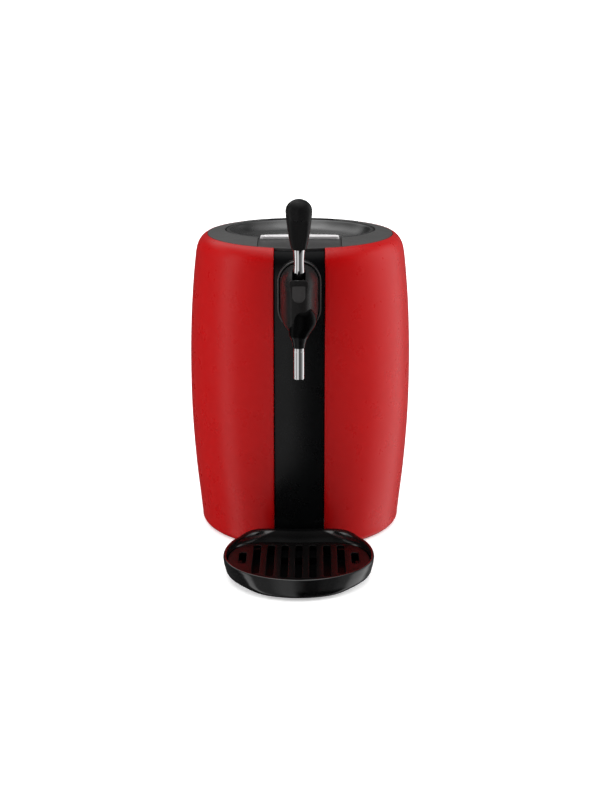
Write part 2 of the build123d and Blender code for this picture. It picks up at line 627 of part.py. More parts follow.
lid_shell.part.label = "lid_shell"

with BuildPart() as lid_grip:
    with BuildSketch(Plane(origin=(0, YC, 370.9))):
        with BuildLine():
            ThreePointArc((-47.5, -84.0), (0, -61.0), (47.5, -84.0))
            Polyline((47.5, -84.0), (44.5, -88.0), (-44.5, -88.0), (-47.5, -84.0))
        make_face()
    extrude(amount=2.9)
    fillet(lid_grip.faces().sort_by(Axis.Z)[-1].edges(), 1.0)
    disc(2.0, 39.0, -84.0, 369.0, 376.0, mode=Mode.SUBTRACT)
lid_grip.part.label = "lid_grip"

with BuildPart() as indicator_lens:
    disc(2.0, 39.0, -84.0, 367.0, 373.6)
    fillet(indicator_lens.edges().group_by(Axis.Z)[-1], 0.6)
indicator_lens.part.label = "indicator_lens"

with BuildPart() as lid_liner:
    disc(87.8, 0, 4.0, 349.6, 365.0)
    disc(85.8, 0, 4.0, 351.6, 366.0, mode=Mode.SUBTRACT)
    fillet(lid_liner.edges().group_by(Axis.Z)[0], 1.5)
    for x, y in LID_BOSSES:
        disc(1.7, x, y + 4.0, 348.0, 352.0, mode=Mode.SUBTRACT)
lid_liner.part.label = "lid_liner"

with BuildPart() as lid_insulation:
    disc(84.8, 0, 4.0, 351.7, 354.8)
    for x, y in LID_BOSSES:
        disc(4.4, x, y + 4.0, 350.0, 357.0, mode=Mode.SUBTRACT)
lid_insulation.part.label = "lid_insulation"

with BuildPart() as lid_screws:
    for x, y in LID_BOSSES:
        pan_screw(x, y + 4.0, 349.6, 3.0, 1.5, 7.0)
lid_screws.part.label = "lid_screws"

with BuildPart() as lid_seal:
    disc(92.0, 0, 4.0, 361.3, 366.0)
    disc(88.2, 0, 4.0, 361.0, 367.0, mode=Mode.SUBTRACT)
    fillet(lid_seal.edges().group_by(Axis.Z)[0], 1.2)
lid_seal.part.label = "lid_seal"

with BuildPart() as lid_hinge_pin:
    with BuildSketch(Plane(origin=(0, HINGE_Y, HINGE_Z), x_dir=(0, 1, 0), z_dir=(1, 0, 0))):
        Circle(2.0)
    extrude(amount=41.0, both=True)
    chamfer(lid_hinge_pin.edges(), 0.4)
lid_hinge_pin.part.label = "lid_hinge_pin"

# ------------------------------------------------------------------------- tap
TAP_BACK = YC - 144.0          # back end of the bezel's skirt


BEZEL_PLANE = Plane(origin=(0, TAP_BACK, TAP_Z), x_dir=(1, 0, 0), z_dir=(0, -1, 0))

with BuildPart() as tap_bezel:
    with BuildSketch(BEZEL_PLANE):
        SlotOverall(BEZEL_H, BEZEL_W, rotation=90)
        SlotOverall(BEZEL_H - 4.6, BEZEL_W - 4.6, rotation=90, mode=Mode.SUBTRACT)
    extrude(amount=21.0)
    fillet(tap_bezel.faces().sort_by(Axis.Y)[0].outer_wire().edges(), 1.1)
    # two bosses for the screws that come through the chassis plate
    with BuildSketch(BEZEL_PLANE):
        for s in (-1, 1):
            with Locations((0, s * 34.8)):
                Circle(3.7)
    extrude(amount=15.0)
    with BuildSketch(BEZEL_PLANE):
        for s in (-1, 1):
            with Locations((0, s * 34.8)):
                Circle(1.25)
    extrude(amount=11.0, mode=Mode.SUBTRACT)
tap_bezel.part.label = "tap_bezel"

COVER = [  # reach forward, width, height, middle height, corner radius
    (-163.5, 45.0, 76.0, 316.5, 22.4),
    (-186.0, 44.0, 74.6, 316.2, 21.4),
    (-208.0, 40.4, 70.6, 314.7, 18.8),
    (-221.0, 34.8, 64.8, 313.3, 15.4),
    (-228.4, 28.4, 57.6, 312.4, 12.0),
    (-232.0, 21.6, 48.0, 311.4, 9.2),
]
COVER_CORE = [
    (-163.5, 40.6, 71.6, 316.5, 20.2),
    (-186.0, 39.6, 70.2, 316.2, 19.2),
    (-208.0, 35.8, 66.0, 314.7, 16.5),
    (-220.0, 29.6, 59.6, 313.3, 12.8),
    (-229.4, 18.6, 46.0, 311.8, 7.6),
]
with BuildPart() as cover_core:
    for y, w, h, zc, r in COVER_CORE:
        with BuildSketch(Plane(origin=(0, YC + y, zc), x_dir=(1, 0, 0), z_dir=(0, -1, 0))):
            RectangleRounded(w, h, r)
    loft()

with BuildPart() as tap_cover:
    for y, w, h, zc, r in COVER:
        with BuildSketch(Plane(origin=(0, YC + y, zc), x_dir=(1, 0, 0), z_dir=(0, -1, 0))):
            RectangleRounded(w, h, r)
    loft()
    # sill across the front of the lever's slot
    with BuildSketch(Plane(origin=(0, YC - 226.5, 340.0), x_dir=(1, 0, 0), z_dir=(0, -1, 0))):
        RectangleRounded(21.0, 9.6, 2.6)
    extrude(amount=5.2)
    # shield-shaped boss below it
    with BuildSketch(Plane(origin=(0, YC - 226.5, 329.0), x_dir=(1, 0, 0), z_dir=(0, -1, 0))):
        with BuildLine():
            Line((-7.4, 9.6), (7.4, 9.6))
            Line((7.4, 9.6), (7.4, -1.6))
            ThreePointArc((7.4, -1.6), (0.0, -9.4), (-7.4, -1.6))
            Line((-7.4, -1.6), (-7.4, 9.6))
        make_face()
    extrude(amount=6.2)
    add(cover_core.part, mode=Mode.SUBTRACT)
    # slot that the lever swings in
    box_between(-7.8, 7.8, -226.5, -192.0, 337.0, 362.0, mode=Mode.SUBTRACT)
    # seat of the nozzle
    disc(10.05, 0, -222.0, 270.0, 290.0, mode=Mode.SUBTRACT)
tap_cover.part.label = "tap_cover"

with BuildPart() as tap_chassis:
    # plate behind the column, beam that carries the tube, ears for the pivot
    with BuildSketch(Plane(origin=(0, YC - 141.0, 314.0), x_dir=(1, 0, 0), z_dir=(0, -1, 0))):
        RectangleRounded(54.0, 84.0, 12.0)
    extrude(amount=3.0)
    box_between(-10.5, 10.5, -207.5, -143.5, 304.5, 319.5)
    for s in (-1, 1):
        box_between(min(s * 6.5, s * 9.5), max(s * 6.5, s * 9.5), -207.5, -194.0, 319.0, 336.0)
        with BuildSketch(Plane(origin=(s * 8.0, PIVOT_Y, PIVOT_Z), x_dir=(0, 1, 0), z_dir=(1, 0, 0))):
            Circle(5.0)
        extrude(amount=1.5, both=True)
        # webs from the plate to the beam
        box_between(min(s * 8.5, s * 10.5), max(s * 8.5, s * 10.5), -172.0, -143.5, 319.0, 330.0)
    with BuildSketch(Plane(origin=(0, PIVOT_Y, PIVOT_Z), x_dir=(0, 1, 0), z_dir=(1, 0, 0))):
        Circle(2.0)
    extrude(amount=20.0, both=True, mode=Mode.SUBTRACT)
    with BuildSketch(Plane(origin=(0, YC - 130.0, TUBE_Z), x_dir=(1, 0, 0), z_dir=(0, -1, 0))):
        Circle(TUBE_R + 0.15)
    extrude(amount=90.0, mode=Mode.SUBTRACT)
    with BuildSketch(Plane(origin=(0, PLUNGER_Y, 300.0))):
        Circle(3.06)
    extrude(amount=25.0, mode=Mode.SUBTRACT)
    for z in (TAP_Z - 34.8, TAP_Z + 34.8):
        with BuildSketch(Plane(origin=(0, YC - 130.0, z), x_dir=(1, 0, 0), z_dir=(0, -1, 0))):
            Circle(1.5)
        extrude(amount=20.0, mode=Mode.SUBTRACT)
tap_chassis.part.label = "tap_chassis"

with BuildPart() as tap_screws:
    for z in (TAP_Z - 34.8, TAP_Z + 34.8):
        with BuildSketch(Plane(origin=(0, YC - 141.0, z), x_dir=(1, 0, 0), z_dir=(0, -1, 0))):
            Circle(2.7)
        extrude(amount=-1.0)
        with BuildSketch(Plane(origin=(0, YC - 141.0, z), x_dir=(1, 0, 0), z_dir=(0, -1, 0))):
            Circle(1.25)
        extrude(amount=13.5)
tap_screws.part.label = "tap_screws"

# Lever: a chromed neck on a hub with its cam, and a moulded handle on top.
LEVER_DIR = Vector(0, -sin(LEVER_LEAN), cos(LEVER_LEAN))
LEVER_PLANE = Plane(origin=(0, PIVOT_Y, PIVOT_Z), x_dir=(1, 0, 0),
                    z_dir=(0, -cos(LEVER_LEAN), -sin(LEVER_LEAN)))
LEVER_AXIS = Axis((0, PIVOT_Y, PIVOT_Z), (0, LEVER_DIR.Y, LEVER_DIR.Z))

# Flat-faced follower: the foot of the cam drops back by the same amount for
# every degree of pull, so the plunger rises in step with the handle.
CAM_K = CAM_LIFT / LEVER_SWING
cam_pts = []
for i in range(0, 23):
    th = radians(-8.0 + i * 2.3)
    h = CAM_H - 0.15 - CAM_K * th
    y, z = CAM_K, -h
    cam_pts.append((y * cos(-th) - z * sin(-th), y * sin(-th) + z * cos(-th)))

with BuildPart() as tap_lever:
    with BuildSketch(LEVER_PLANE):
        with BuildLine():
            sp = Spline((6.2, 8.0), (6.1, 14.6), (5.7, 25.0), (6.0, 34.0), (7.0, 42.3),
                        tangents=[(0, 1), (0.22, 1)])
            Polyline(sp @ 1, (3.0, 42.3), (3.0, 62.0), (0, 62.0), (0, 0), (4.4, 0), (6.2, 8.0))
        make_face()
    revolve(axis=LEVER_AXIS)
    box_between(-15, 15, -215, -190, 320, 336.0, mode=Mode.SUBTRACT)
    with BuildSketch(Plane(origin=(0, PIVOT_Y, PIVOT_Z), x_dir=(0, 1, 0), z_dir=(1, 0, 0))):
        Circle(6.2)
        with BuildLine():
            Polyline(*cam_pts)
            Polyline(cam_pts[-1], (0, 0), cam_pts[0])
        make_face()
    extrude(amount=5.9, both=True)
    with BuildSketch(Plane(origin=(0, PIVOT_Y, PIVOT_Z), x_dir=(0, 1, 0), z_dir=(1, 0, 0))):
        Circle(2.06)
    extrude(amount=20.0, both=True, mode=Mode.SUBTRACT)
tap_lever.part.label = "tap_lever"

with BuildPart() as lever_handle:
    with BuildSketch(LEVER_PLANE):
        with BuildLine():
            sp = Spline((8.7, 42.6), (10.3, 50.0), (12.3, 60.0), (13.6, 70.0), (14.7, 80.0), (15.2, 87.4),
                        (13.2, 95.0), (7.6, 99.4), (0.0, 100.7), tangents=[(0.18, 1), (-1, 0)])
            Polyline(sp @ 1, (0, 62.0), (3.0, 62.0), (3.0, 42.6), (8.7, 42.6))
        make_face()
    revolve(axis=LEVER_AXIS)
    # flat inset facet down the front, below the ball
    with Locations(LEVER_PLANE.location * Location((0, 60.0, 12.45), (7.4, 0, 0))):
        Box(30.0, 39.0, 7.0, mode=Mode.SUBTRACT)
lever_handle.part.label = "lever_handle"

with BuildPart() as lever_pivot_pin:
    with BuildSketch(Plane(origin=(0, PIVOT_Y, PIVOT_Z), x_dir=(0, 1, 0), z_dir=(1, 0, 0))):
        Circle(2.0)
    extrude(amount=9.5, both=True)
    chamfer(lever_pivot_pin.edges(), 0.3)
lever_pivot_pin.part.label = "lever_pivot_pin"

HEAD_TOP = PIVOT_Z - CAM_H
with BuildPart() as pinch_plunger:
    box_between(-5.9, 5.9, -204.6, -191.6, HEAD_TOP - 2.0, HEAD_TOP)
    fillet(pinch_plunger.edges().filter_by(Axis.Z), 2.0)
    with BuildSketch(Plane(origin=(0, PLUNGER_Y, 313.2))):
        Circle(3.0)
    extrude(amount=HEAD_TOP - 1.0 - 313.2)
pinch_plunger.part.label = "pinch_plunger"

SPRING_Z0, SPRING_Z1 = 319.6, HEAD_TOP - 2.1
with BuildPart() as plunger_spring:
    with BuildLine() as coil:
        Helix(pitch=1.35, height=SPRING_Z1 - SPRING_Z0 - 0.8, radius=4.3,
              center=(0, PLUNGER_Y, SPRING_Z0 + 0.4))
    with BuildSketch(Plane(origin=coil.line @ 0, z_dir=coil.line % 0)):
        Circle(0.38)
    sweep(path=coil.line, is_frenet=True)
plunger_spring.part.label = "plunger_spring"

# Beer line: from the parked coupler, through the pocket floor, forward through
# the tap and down into the nozzle.
COUP_X, COUP_Y = 31.0, -110.0
TUBE_PTS = [(17.5, YC + -115.0, 356.0), (0, YC + -115.0, 356.0), (0, YC + -115.0, TUBE_Z),
            (0, SPOUT_Y, TUBE_Z), (0, SPOUT_Y, 272.2)]
TUBE_RADII = [13.0, 22.0, 14.0]
with BuildPart() as beer_tube:
    with BuildLine() as run:
        FilletPolyline(*TUBE_PTS, radius=TUBE_RADII)
    with BuildSketch(Plane(origin=TUBE_PTS[0], x_dir=(0, 0, 1), z_dir=(-1, 0, 0))):
        Circle(TUBE_R)
        Circle(TUBE_BORE, mode=Mode.SUBTRACT)
    sweep(path=run.line)
    # dent where the plunger shuts the tube
    box_between(-5, 5, -201.4, -194.6, 313.0, 318.0, mode=Mode.SUBTRACT)
beer_tube.part.label = "beer_tube"
RUN_LENGTH = sum(e.length for e in run.line.edges())
print("beer tube length", round(RUN_LENGTH, 2), "volume over section",
      round(beer_tube.part.volume / (pi * (TUBE_R ** 2 - TUBE_BORE ** 2)), 2), "radii", TUBE_RADII)

with BuildPart() as keg_coupler:
    disc(11.0, COUP_X, COUP_Y, 348.6, 353.0)
    disc(8.0, COUP_X, COUP_Y, 353.0, 361.0)
    fillet(keg_coupler.edges().group_by(Axis.Z)[-1], 2.0)
    box_between(COUP_X - 11.5, COUP_X, -118.5, -111.5, 352.4, 359.6)
    with BuildSketch(Plane(origin=(COUP_X, YC - 115.0, 356.0), x_dir=(0, 0, 1), z_dir=(-1, 0, 0))):
        Circle(2.45)
    extrude(amount=16.0)
    disc(6.5, COUP_X, COUP_Y, 345.0, 351.0, mode=Mode.SUBTRACT)
keg_coupler.part.label = "keg_coupler"

with BuildPart() as coupler_seal:
    disc(10.4, COUP_X, COUP_Y, 348.0, 348.6)
    disc(7.2, COUP_X, COUP_Y, 347.0, 350.0, mode=Mode.SUBTRACT)
coupler_seal.part.label = "coupler_seal"

with BuildPart() as tap_nozzle:
    with BuildSketch(Plane(origin=(0, SPOUT_Y, 0), x_dir=(1, 0, 0), z_dir=(0, -1, 0))):
        with BuildLine():
            sp = Spline((9.9, 281.0), (9.3, 276.0), (7.4, 270.0), (6.9, 265.8), tangents=[(0, -1), (0, -1)])
            Polyline(sp @ 1, (SPIGOT_R, 265.8), (SPIGOT_R, 271.0), (TUBE_R + 0.1, 272.0), (TUBE_R + 0.1, 290.0),
                     (9.9, 290.0), (9.9, 281.0))
        make_face()
    revolve(axis=Axis((0, SPOUT_Y, 0), (0, 0, 1)))
tap_nozzle.part.label = "tap_nozzle"

with BuildPart() as spout_tube:
    with BuildSketch(Plane(origin=(0, SPOUT_Y, SPOUT_LOW))):
        Circle(SPOUT_R)
    extrude(amount=262.0 - SPOUT_LOW)
    with BuildSketch(Plane(origin=(0, SPOUT_Y, 262.0))):
        Circle(SPIGOT_R)
    extrude(amount=9.0)
    with BuildSketch(Plane(origin=(0, SPOUT_Y, SPOUT_LOW))):
        Circle(SPOUT_R - 0.9)
    extrude(amount=60.0, mode=Mode.SUBTRACT)
spout_tube.part.label = "spout_tube"

# ------------------------------------------------------------------- drip tray
# Half of the rim seen from above, from the middle of the front round the tip
# to the middle of the back; x and the distance from the widest line.
RIM = [(88.4 * cos(radians(a)), 2.0 - 94.0 * sin(radians(a))) for a in (90, 76, 62, 48, 34, 20, 8)]
RIM = [(abs(x) if abs(x) > 1e-6 else 0.0, y) for x, y in RIM]
RIM += [(88.3, 8.0), (86.8, 27.0), (83.0, 46.0), (77.0, 62.5), (68.5, 76.0), (57.5, 86.0), (45.0, 91.0),
        (31.0, 91.6), (15.0, 90.2), (0.0, 89.6)]


def tray_outline(inset, back=0.0):
    """Closed outline, drawn in from the rim by about the inset, and more at the back."""
    pts = []
    for x, y in RIM:
        r = sqrt(x * x + y * y)
        k = (r - inset) / r
        pts.append((x * k, y * k - back * max(0.0, y / 90.0)))
    loop = pts + [(-x, y) for x, y in pts[-2:0:-1]]
    return Spline(*loop, periodic=True)


def tray_plane(z):
    return Plane(origin=(0, TRAY_Y, z))


with BuildPart() as tray_hollow:
    for z, inset, back in ((4.8, 15.0, 17.0), (9.0, 8.2, 19.5), (17.0, 4.6, 19.5), (34.0, 3.4, 7.0)):
        with BuildSketch(tray_plane(z)):
            with BuildLine():
                tray_outline(inset, back)
            make_face()
    loft()

with BuildPart() as drip_tray:
    for z, inset in ((1.6, 15.0), (5.0, 7.6), (14.0, 2.6), (31.0, 0.3)):
        with BuildSketch(tray_plane(z)):
            with BuildLine():
                tray_outline(inset)
            make_face()
    loft()
    # rim: level round the front and the tips, stepping up along the back
    with BuildSketch(Plane(origin=(-100, YC, 0), x_dir=(0, 1, 0), z_dir=(1, 0, 0))):
        with BuildLine():
            Polyline((-345, TRAY_RIM), (-178, TRAY_RIM), (-160, 30.2), (-130, 30.2), (-130, 40), (-345, 40),
                     close=True)
        make_face()
    extrude(amount=200.0, mode=Mode.SUBTRACT)
    add(tray_hollow.part, mode=Mode.SUBTRACT)
    # raised channel over the base's tongue
    box_between(-25.0, 25.0, -218.0, -165.0, 3.0, 13.0)
    box_between(-22.6, 22.6, -213.0, -140.0, 0.0, BASE_Z + 3.5, mode=Mode.SUBTRACT)
    # ledge blocks that the grille rests on
    for x, y in ((70, -245), (-70, -245), (46, -300), (-46, -300), (50, -196), (-50, -196)):
        box_between(x - 4, x + 4, y - 4, y + 4, 3.4, 17.0)
    for x, y in ((40, -290), (-40, -290)):
        disc(4.5, x, y, 1.0, 2.6, mode=Mode.SUBTRACT)
drip_tray.part.label = "drip_tray"

with BuildPart() as tray_pads:
    for x, y in ((40, -290), (-40, -290)):
        disc(4.4, x, y, 0.0, 2.6)
tray_pads.part.label = "tray_pads"

with BuildPart() as drip_grille:
    with BuildSketch(tray_plane(17.0)):
        with BuildLine():
            tray_outline(5.6, 20.5)
        make_face()
    extrude(amount=2.6)
    # nine slots between the bars; the outermost two are short
    for k in range(-4, 5):
        x = 16.4 * k
        if abs(k) == 4:
            front, rear = -13.0, 27.0
        else:
            front, rear = -(82.0 * sqrt(1.0 - (x / 84.0) ** 2) - 17.0), 55.0
        with BuildSketch(Plane(origin=(x, TRAY_Y + (front + rear) / 2, 15.0))):
            SlotOverall(rear - front, 8.6, rotation=90)
        extrude(amount=8.0, mode=Mode.SUBTRACT)
    fillet(drip_grille.faces().sort_by(Axis.Z)[-1].outer_wire().edges(), 0.8)
drip_grille.part.label = "drip_grille"

# ---------------------------------------------------------------- written parts
for piece in (
    right_shell, left_shell, front_column, rear_panel, base_plate, rubber_feet,
    support_pillars, pillar_screws, shell_screws, top_collar, keg_well_liner,
    insulation_foam, cold_block, peltier_module, heat_sink, fan_frame, fan_rotor,
    fan_screws, temperature_sensor, board_bracket, power_board, board_screws, mains_inlet,
    inlet_pins, switch_housing, power_rocker, lid_shell, lid_grip, indicator_lens,
    lid_liner, lid_insulation, lid_screws, lid_seal, lid_hinge_pin, tap_bezel, tap_cover,
    tap_chassis, tap_screws, tap_lever, lever_handle, lever_pivot_pin, pinch_plunger,
    plunger_spring, beer_tube, keg_coupler, coupler_seal, tap_nozzle, spout_tube, drip_tray,
    tray_pads, drip_grille,
):
    export_step(piece.part, "parts/" + piece.part.label + ".step")
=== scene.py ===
import bpy, bmesh, json, math
import numpy as np
from mathutils import Vector, Matrix, Euler


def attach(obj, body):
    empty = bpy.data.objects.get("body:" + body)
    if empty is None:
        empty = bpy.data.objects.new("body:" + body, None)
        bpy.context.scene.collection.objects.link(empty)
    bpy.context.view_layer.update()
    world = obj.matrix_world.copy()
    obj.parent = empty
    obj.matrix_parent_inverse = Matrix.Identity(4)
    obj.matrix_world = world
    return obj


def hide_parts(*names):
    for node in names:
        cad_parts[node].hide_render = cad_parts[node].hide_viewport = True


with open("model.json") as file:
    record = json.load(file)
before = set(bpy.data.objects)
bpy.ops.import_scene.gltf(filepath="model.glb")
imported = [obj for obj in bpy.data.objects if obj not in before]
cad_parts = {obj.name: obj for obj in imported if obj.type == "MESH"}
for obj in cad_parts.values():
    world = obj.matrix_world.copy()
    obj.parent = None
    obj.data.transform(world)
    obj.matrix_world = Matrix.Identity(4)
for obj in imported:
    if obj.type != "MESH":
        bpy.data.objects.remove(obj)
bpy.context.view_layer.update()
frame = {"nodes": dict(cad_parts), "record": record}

# ------------------------------------------------------------------ main sizes, in metres
MM = 0.001
BACK = 138.4 * 1.2
YC = (337.0 - BACK) / 2          # barrel axis, mm in the row frame
OVAL = 1.2
WELL_Y = YC + 4.0


# ------------------------------------------------------------------ material helpers
def new_material(name):
    m = bpy.data.materials.new(name)
    m.use_nodes = True
    nt = m.node_tree
    nt.nodes.clear()
    out = nt.nodes.new("ShaderNodeOutputMaterial")
    out.location = (900, 0)
    sh = nt.nodes.new("ShaderNodeBsdfPrincipled")
    sh.location = (560, 0)
    nt.links.new(sh.outputs["BSDF"], out.inputs["Surface"])
    return m, nt, sh


def coords(nt, scale=(1, 1, 1)):
    tc = nt.nodes.new("ShaderNodeTexCoord")
    mp = nt.nodes.new("ShaderNodeMapping")
    mp.inputs["Scale"].default_value = scale
    nt.links.new(tc.outputs["Object"], mp.inputs["Vector"])
    return mp.outputs["Vector"]


def noise(nt, vec, scale, detail=4.0, rough=0.55, distortion=0.0):
    n = nt.nodes.new("ShaderNodeTexNoise")
    n.inputs["Scale"].default_value = scale
    n.inputs["Detail"].default_value = detail
    n.inputs["Roughness"].default_value = rough
    n.inputs["Distortion"].default_value = distortion
    nt.links.new(vec, n.inputs["Vector"])
    return n.outputs["Fac"]


def ramp(nt, fac, stops):
    r = nt.nodes.new("ShaderNodeValToRGB")
    e = r.color_ramp.elements
    e[0].position, e[0].color = stops[0][0], (*stops[0][1], 1)
    e[1].position, e[1].color = stops[-1][0], (*stops[-1][1], 1)
    for p, c in stops[1:-1]:
        k = e.new(p)
        k.color = (*c, 1)
    nt.links.new(fac, r.inputs["Fac"])
    return r.outputs["Color"]


def span(nt, fac, lo, hi, a=0.0, b=1.0):
    r = nt.nodes.new("ShaderNodeMapRange")
    r.inputs["From Min"].default_value = a
    r.inputs["From Max"].default_value = b
    r.inputs["To Min"].default_value = lo
    r.inputs["To Max"].default_value = hi
    nt.links.new(fac, r.inputs["Value"])
    return r.outputs["Result"]


def mathn(nt, op, a, b):
    n = nt.nodes.new("ShaderNodeMath")
    n.operation = op
    for i, v in enumerate((a, b)):
        if isinstance(v, (int, float)):
            n.inputs[i].default_value = v
        else:
            nt.links.new(v, n.inputs[i])
    return n.outputs[0]


def bump(nt, height, strength, distance, normal=None):
    b = nt.nodes.new("ShaderNodeBump")
    b.inputs["Strength"].default_value = strength
    b.inputs["Distance"].default_value = distance
    nt.links.new(height, b.inputs["Height"])
    if normal is not None:
        nt.links.new(normal, b.inputs["Normal"])
    return b.outputs["Normal"]


def shade(c, k):
    return tuple(max(0.0, min(1.0, v * k)) for v in c)


def plastic(name, base, rough=(0.25, 0.35), vary=0.06, grain=1400.0, grain_h=0.000015, wave=9.0,
            wave_h=0.00012, spec=0.5, coat=0.0, coat_rough=0.06, metallic=0.0, dust=0.0, strength=0.5, ior=1.5):
    """Moulded plastic: slow colour drift, patchy gloss, a fine grain and the shallow
    waviness of a moulding, with a little dust on faces that look up."""
    m, nt, sh = new_material(name)
    vec = coords(nt)
    slow = noise(nt, vec, 14.0, 3.0)
    fine = noise(nt, vec, 160.0, 5.0, 0.6)
    mix = mathn(nt, "ADD", mathn(nt, "MULTIPLY", slow, 0.7), mathn(nt, "MULTIPLY", fine, 0.3))
    col = ramp(nt, mix, [(0.3, shade(base, 1 - vary)), (0.5, base), (0.7, shade(base, 1 + vary))])
    if dust > 0:
        geo = nt.nodes.new("ShaderNodeNewGeometry")
        sep = nt.nodes.new("ShaderNodeSeparateXYZ")
        nt.links.new(geo.outputs["Normal"], sep.inputs[0])
        up = span(nt, sep.outputs["Z"], 0.0, 1.0, 0.55, 1.0)
        speck = span(nt, noise(nt, vec, 420.0, 6.0, 0.75), 0.0, 1.0, 0.50, 0.78)
        f = mathn(nt, "MULTIPLY", mathn(nt, "MULTIPLY", up, speck), dust)
        mx = nt.nodes.new("ShaderNodeMix")
        mx.data_type = "RGBA"
        nt.links.new(f, mx.inputs["Factor"])
        nt.links.new(col, mx.inputs["A"])
        mx.inputs["B"].default_value = (0.32, 0.31, 0.30, 1)
        col = mx.outputs["Result"]
    nt.links.new(col, sh.inputs["Base Color"])
    nt.links.new(span(nt, noise(nt, vec, 38.0, 6.0, 0.65), rough[0], rough[1], 0.3, 0.7), sh.inputs["Roughness"])
    n1 = bump(nt, noise(nt, vec, wave, 2.0), strength, wave_h)
    n2 = bump(nt, noise(nt, vec, grain, 2.0, 0.5), strength, grain_h, n1)
    nt.links.new(n2, sh.inputs["Normal"])
    sh.inputs["Metallic"].default_value = metallic
    sh.inputs["Specular IOR Level"].default_value = spec
    sh.inputs["IOR"].default_value = ior
    sh.inputs["Coat Weight"].default_value = coat
    sh.inputs["Coat Roughness"].default_value = coat_rough
    return m


def metal(name, base, rough=(0.08, 0.16), brush=None, vary=0.05, scratch=0.00001, spec=0.5):
    """Metal with fine scratches or, with brush, long strokes stretched along one axis."""
    m, nt, sh = new_material(name)
    vec = coords(nt)
    stroke = coords(nt, brush) if brush else coords(nt, (1, 1, 0.08))
    lines = noise(nt, stroke, 900.0 if brush else 500.0, 4.0, 0.7)
    cloud = noise(nt, vec, 22.0, 4.0)
    col = ramp(nt, cloud, [(0.3, shade(base, 1 - vary)), (0.7, shade(base, 1 + vary))])
    nt.links.new(col, sh.inputs["Base Color"])
    rr = mathn(nt, "ADD", mathn(nt, "MULTIPLY", lines, 0.6), mathn(nt, "MULTIPLY", cloud, 0.4))
    nt.links.new(span(nt, rr, rough[0], rough[1], 0.3, 0.7), sh.inputs["Roughness"])
    nt.links.new(bump(nt, lines, 0.4, scratch), sh.inputs["Normal"])
    sh.inputs["Metallic"].default_value = 1.0
    return m


def rubber(name, base, rough=(0.6, 0.8), spec=0.35, grain_h=0.00004):
    return plastic(name, base, rough, 0.12, 900.0, grain_h, 30.0, 0.00008, spec=spec)


MATS = {}
MATS["shell_red"] = plastic("shell_red_m", (0.390, 0.0020, 0.0025), (0.26, 0.31), 0.025, 2100.0, 0.000003, 7.0, 0.00030,
                            spec=0.16, dust=0.0)
MATS["column_black"] = plastic("column_black_m", (0.0026, 0.0028, 0.0032), (0.24, 0.33), 0.15, 1800.0, 0.000012, 9.0,
                               0.00015, spec=0.23, dust=0.006)
MATS["rear_black"] = plastic("rear_black_m", (0.018, 0.018, 0.019), (0.42, 0.55), 0.15, 1500.0, 0.00004, 12.0, 0.0001, dust=0.05)
MATS["base_black"] = plastic("base_black_m", (0.02, 0.02, 0.021), (0.45, 0.6), 0.15, 1300.0, 0.00004, 12.0, 0.0001, dust=0.05)
MATS["foot_rubber"] = rubber("foot_rubber_m", (0.018, 0.018, 0.018))
MATS["white_plastic"] = plastic("white_plastic_m", (0.72, 0.72, 0.69), (0.4, 0.5), 0.04, 1200.0, 0.00002)
MATS["screw_steel"] = metal("screw_steel_m", (0.55, 0.55, 0.57), (0.25, 0.4))
MATS["collar_grey"] = plastic("collar_grey_m", (0.041, 0.0405, 0.040), (0.36, 0.48), 0.10, 1700.0, 0.00003, 10.0, 0.0001,
                              spec=0.45, dust=0.02)
MATS["liner_aluminium"] = metal("liner_aluminium_m", (0.70, 0.71, 0.73), (0.22, 0.34), (1.0, 1.0, 0.03))
MATS["foam_white"] = plastic("foam_white_m", (0.85, 0.85, 0.83), (0.8, 0.95), 0.03, 260.0, 0.0004, 60.0, 0.0003, spec=0.2)
MATS["cold_aluminium"] = metal("cold_aluminium_m", (0.66, 0.67, 0.69), (0.25, 0.4), (1.0, 0.05, 1.0))
MATS["ceramic_white"] = plastic("ceramic_white_m", (0.82, 0.81, 0.77), (0.5, 0.6), 0.03)
MATS["sink_aluminium"] = metal("sink_aluminium_m", (0.6, 0.61, 0.63), (0.28, 0.42), (1.0, 1.0, 0.04))
MATS["fan_black"] = plastic("fan_black_m", (0.015, 0.015, 0.016), (0.4, 0.5), 0.1)
MATS["sensor_brass"] = metal("sensor_brass_m", (0.66, 0.46, 0.2), (0.25, 0.35))
MATS["bracket_steel"] = metal("bracket_steel_m", (0.56, 0.57, 0.58), (0.3, 0.45), (1.0, 1.0, 0.04))
MATS["board_green"] = plastic("board_green_m", (0.02, 0.13, 0.05), (0.3, 0.4), 0.2, 900.0, 0.00003)
MATS["pin_brass"] = metal("pin_brass_m", (0.74, 0.56, 0.28), (0.18, 0.3))
MATS["rocker_black"] = plastic("rocker_black_m", (0.012, 0.012, 0.012), (0.2, 0.3), 0.1)
m_ = plastic("lid_grey_m", (0.0035, 0.0036, 0.0038), (0.22, 0.30), 0.12, 1900.0, 0.000012, 8.0, 0.00015, spec=0.8, dust=0.01)
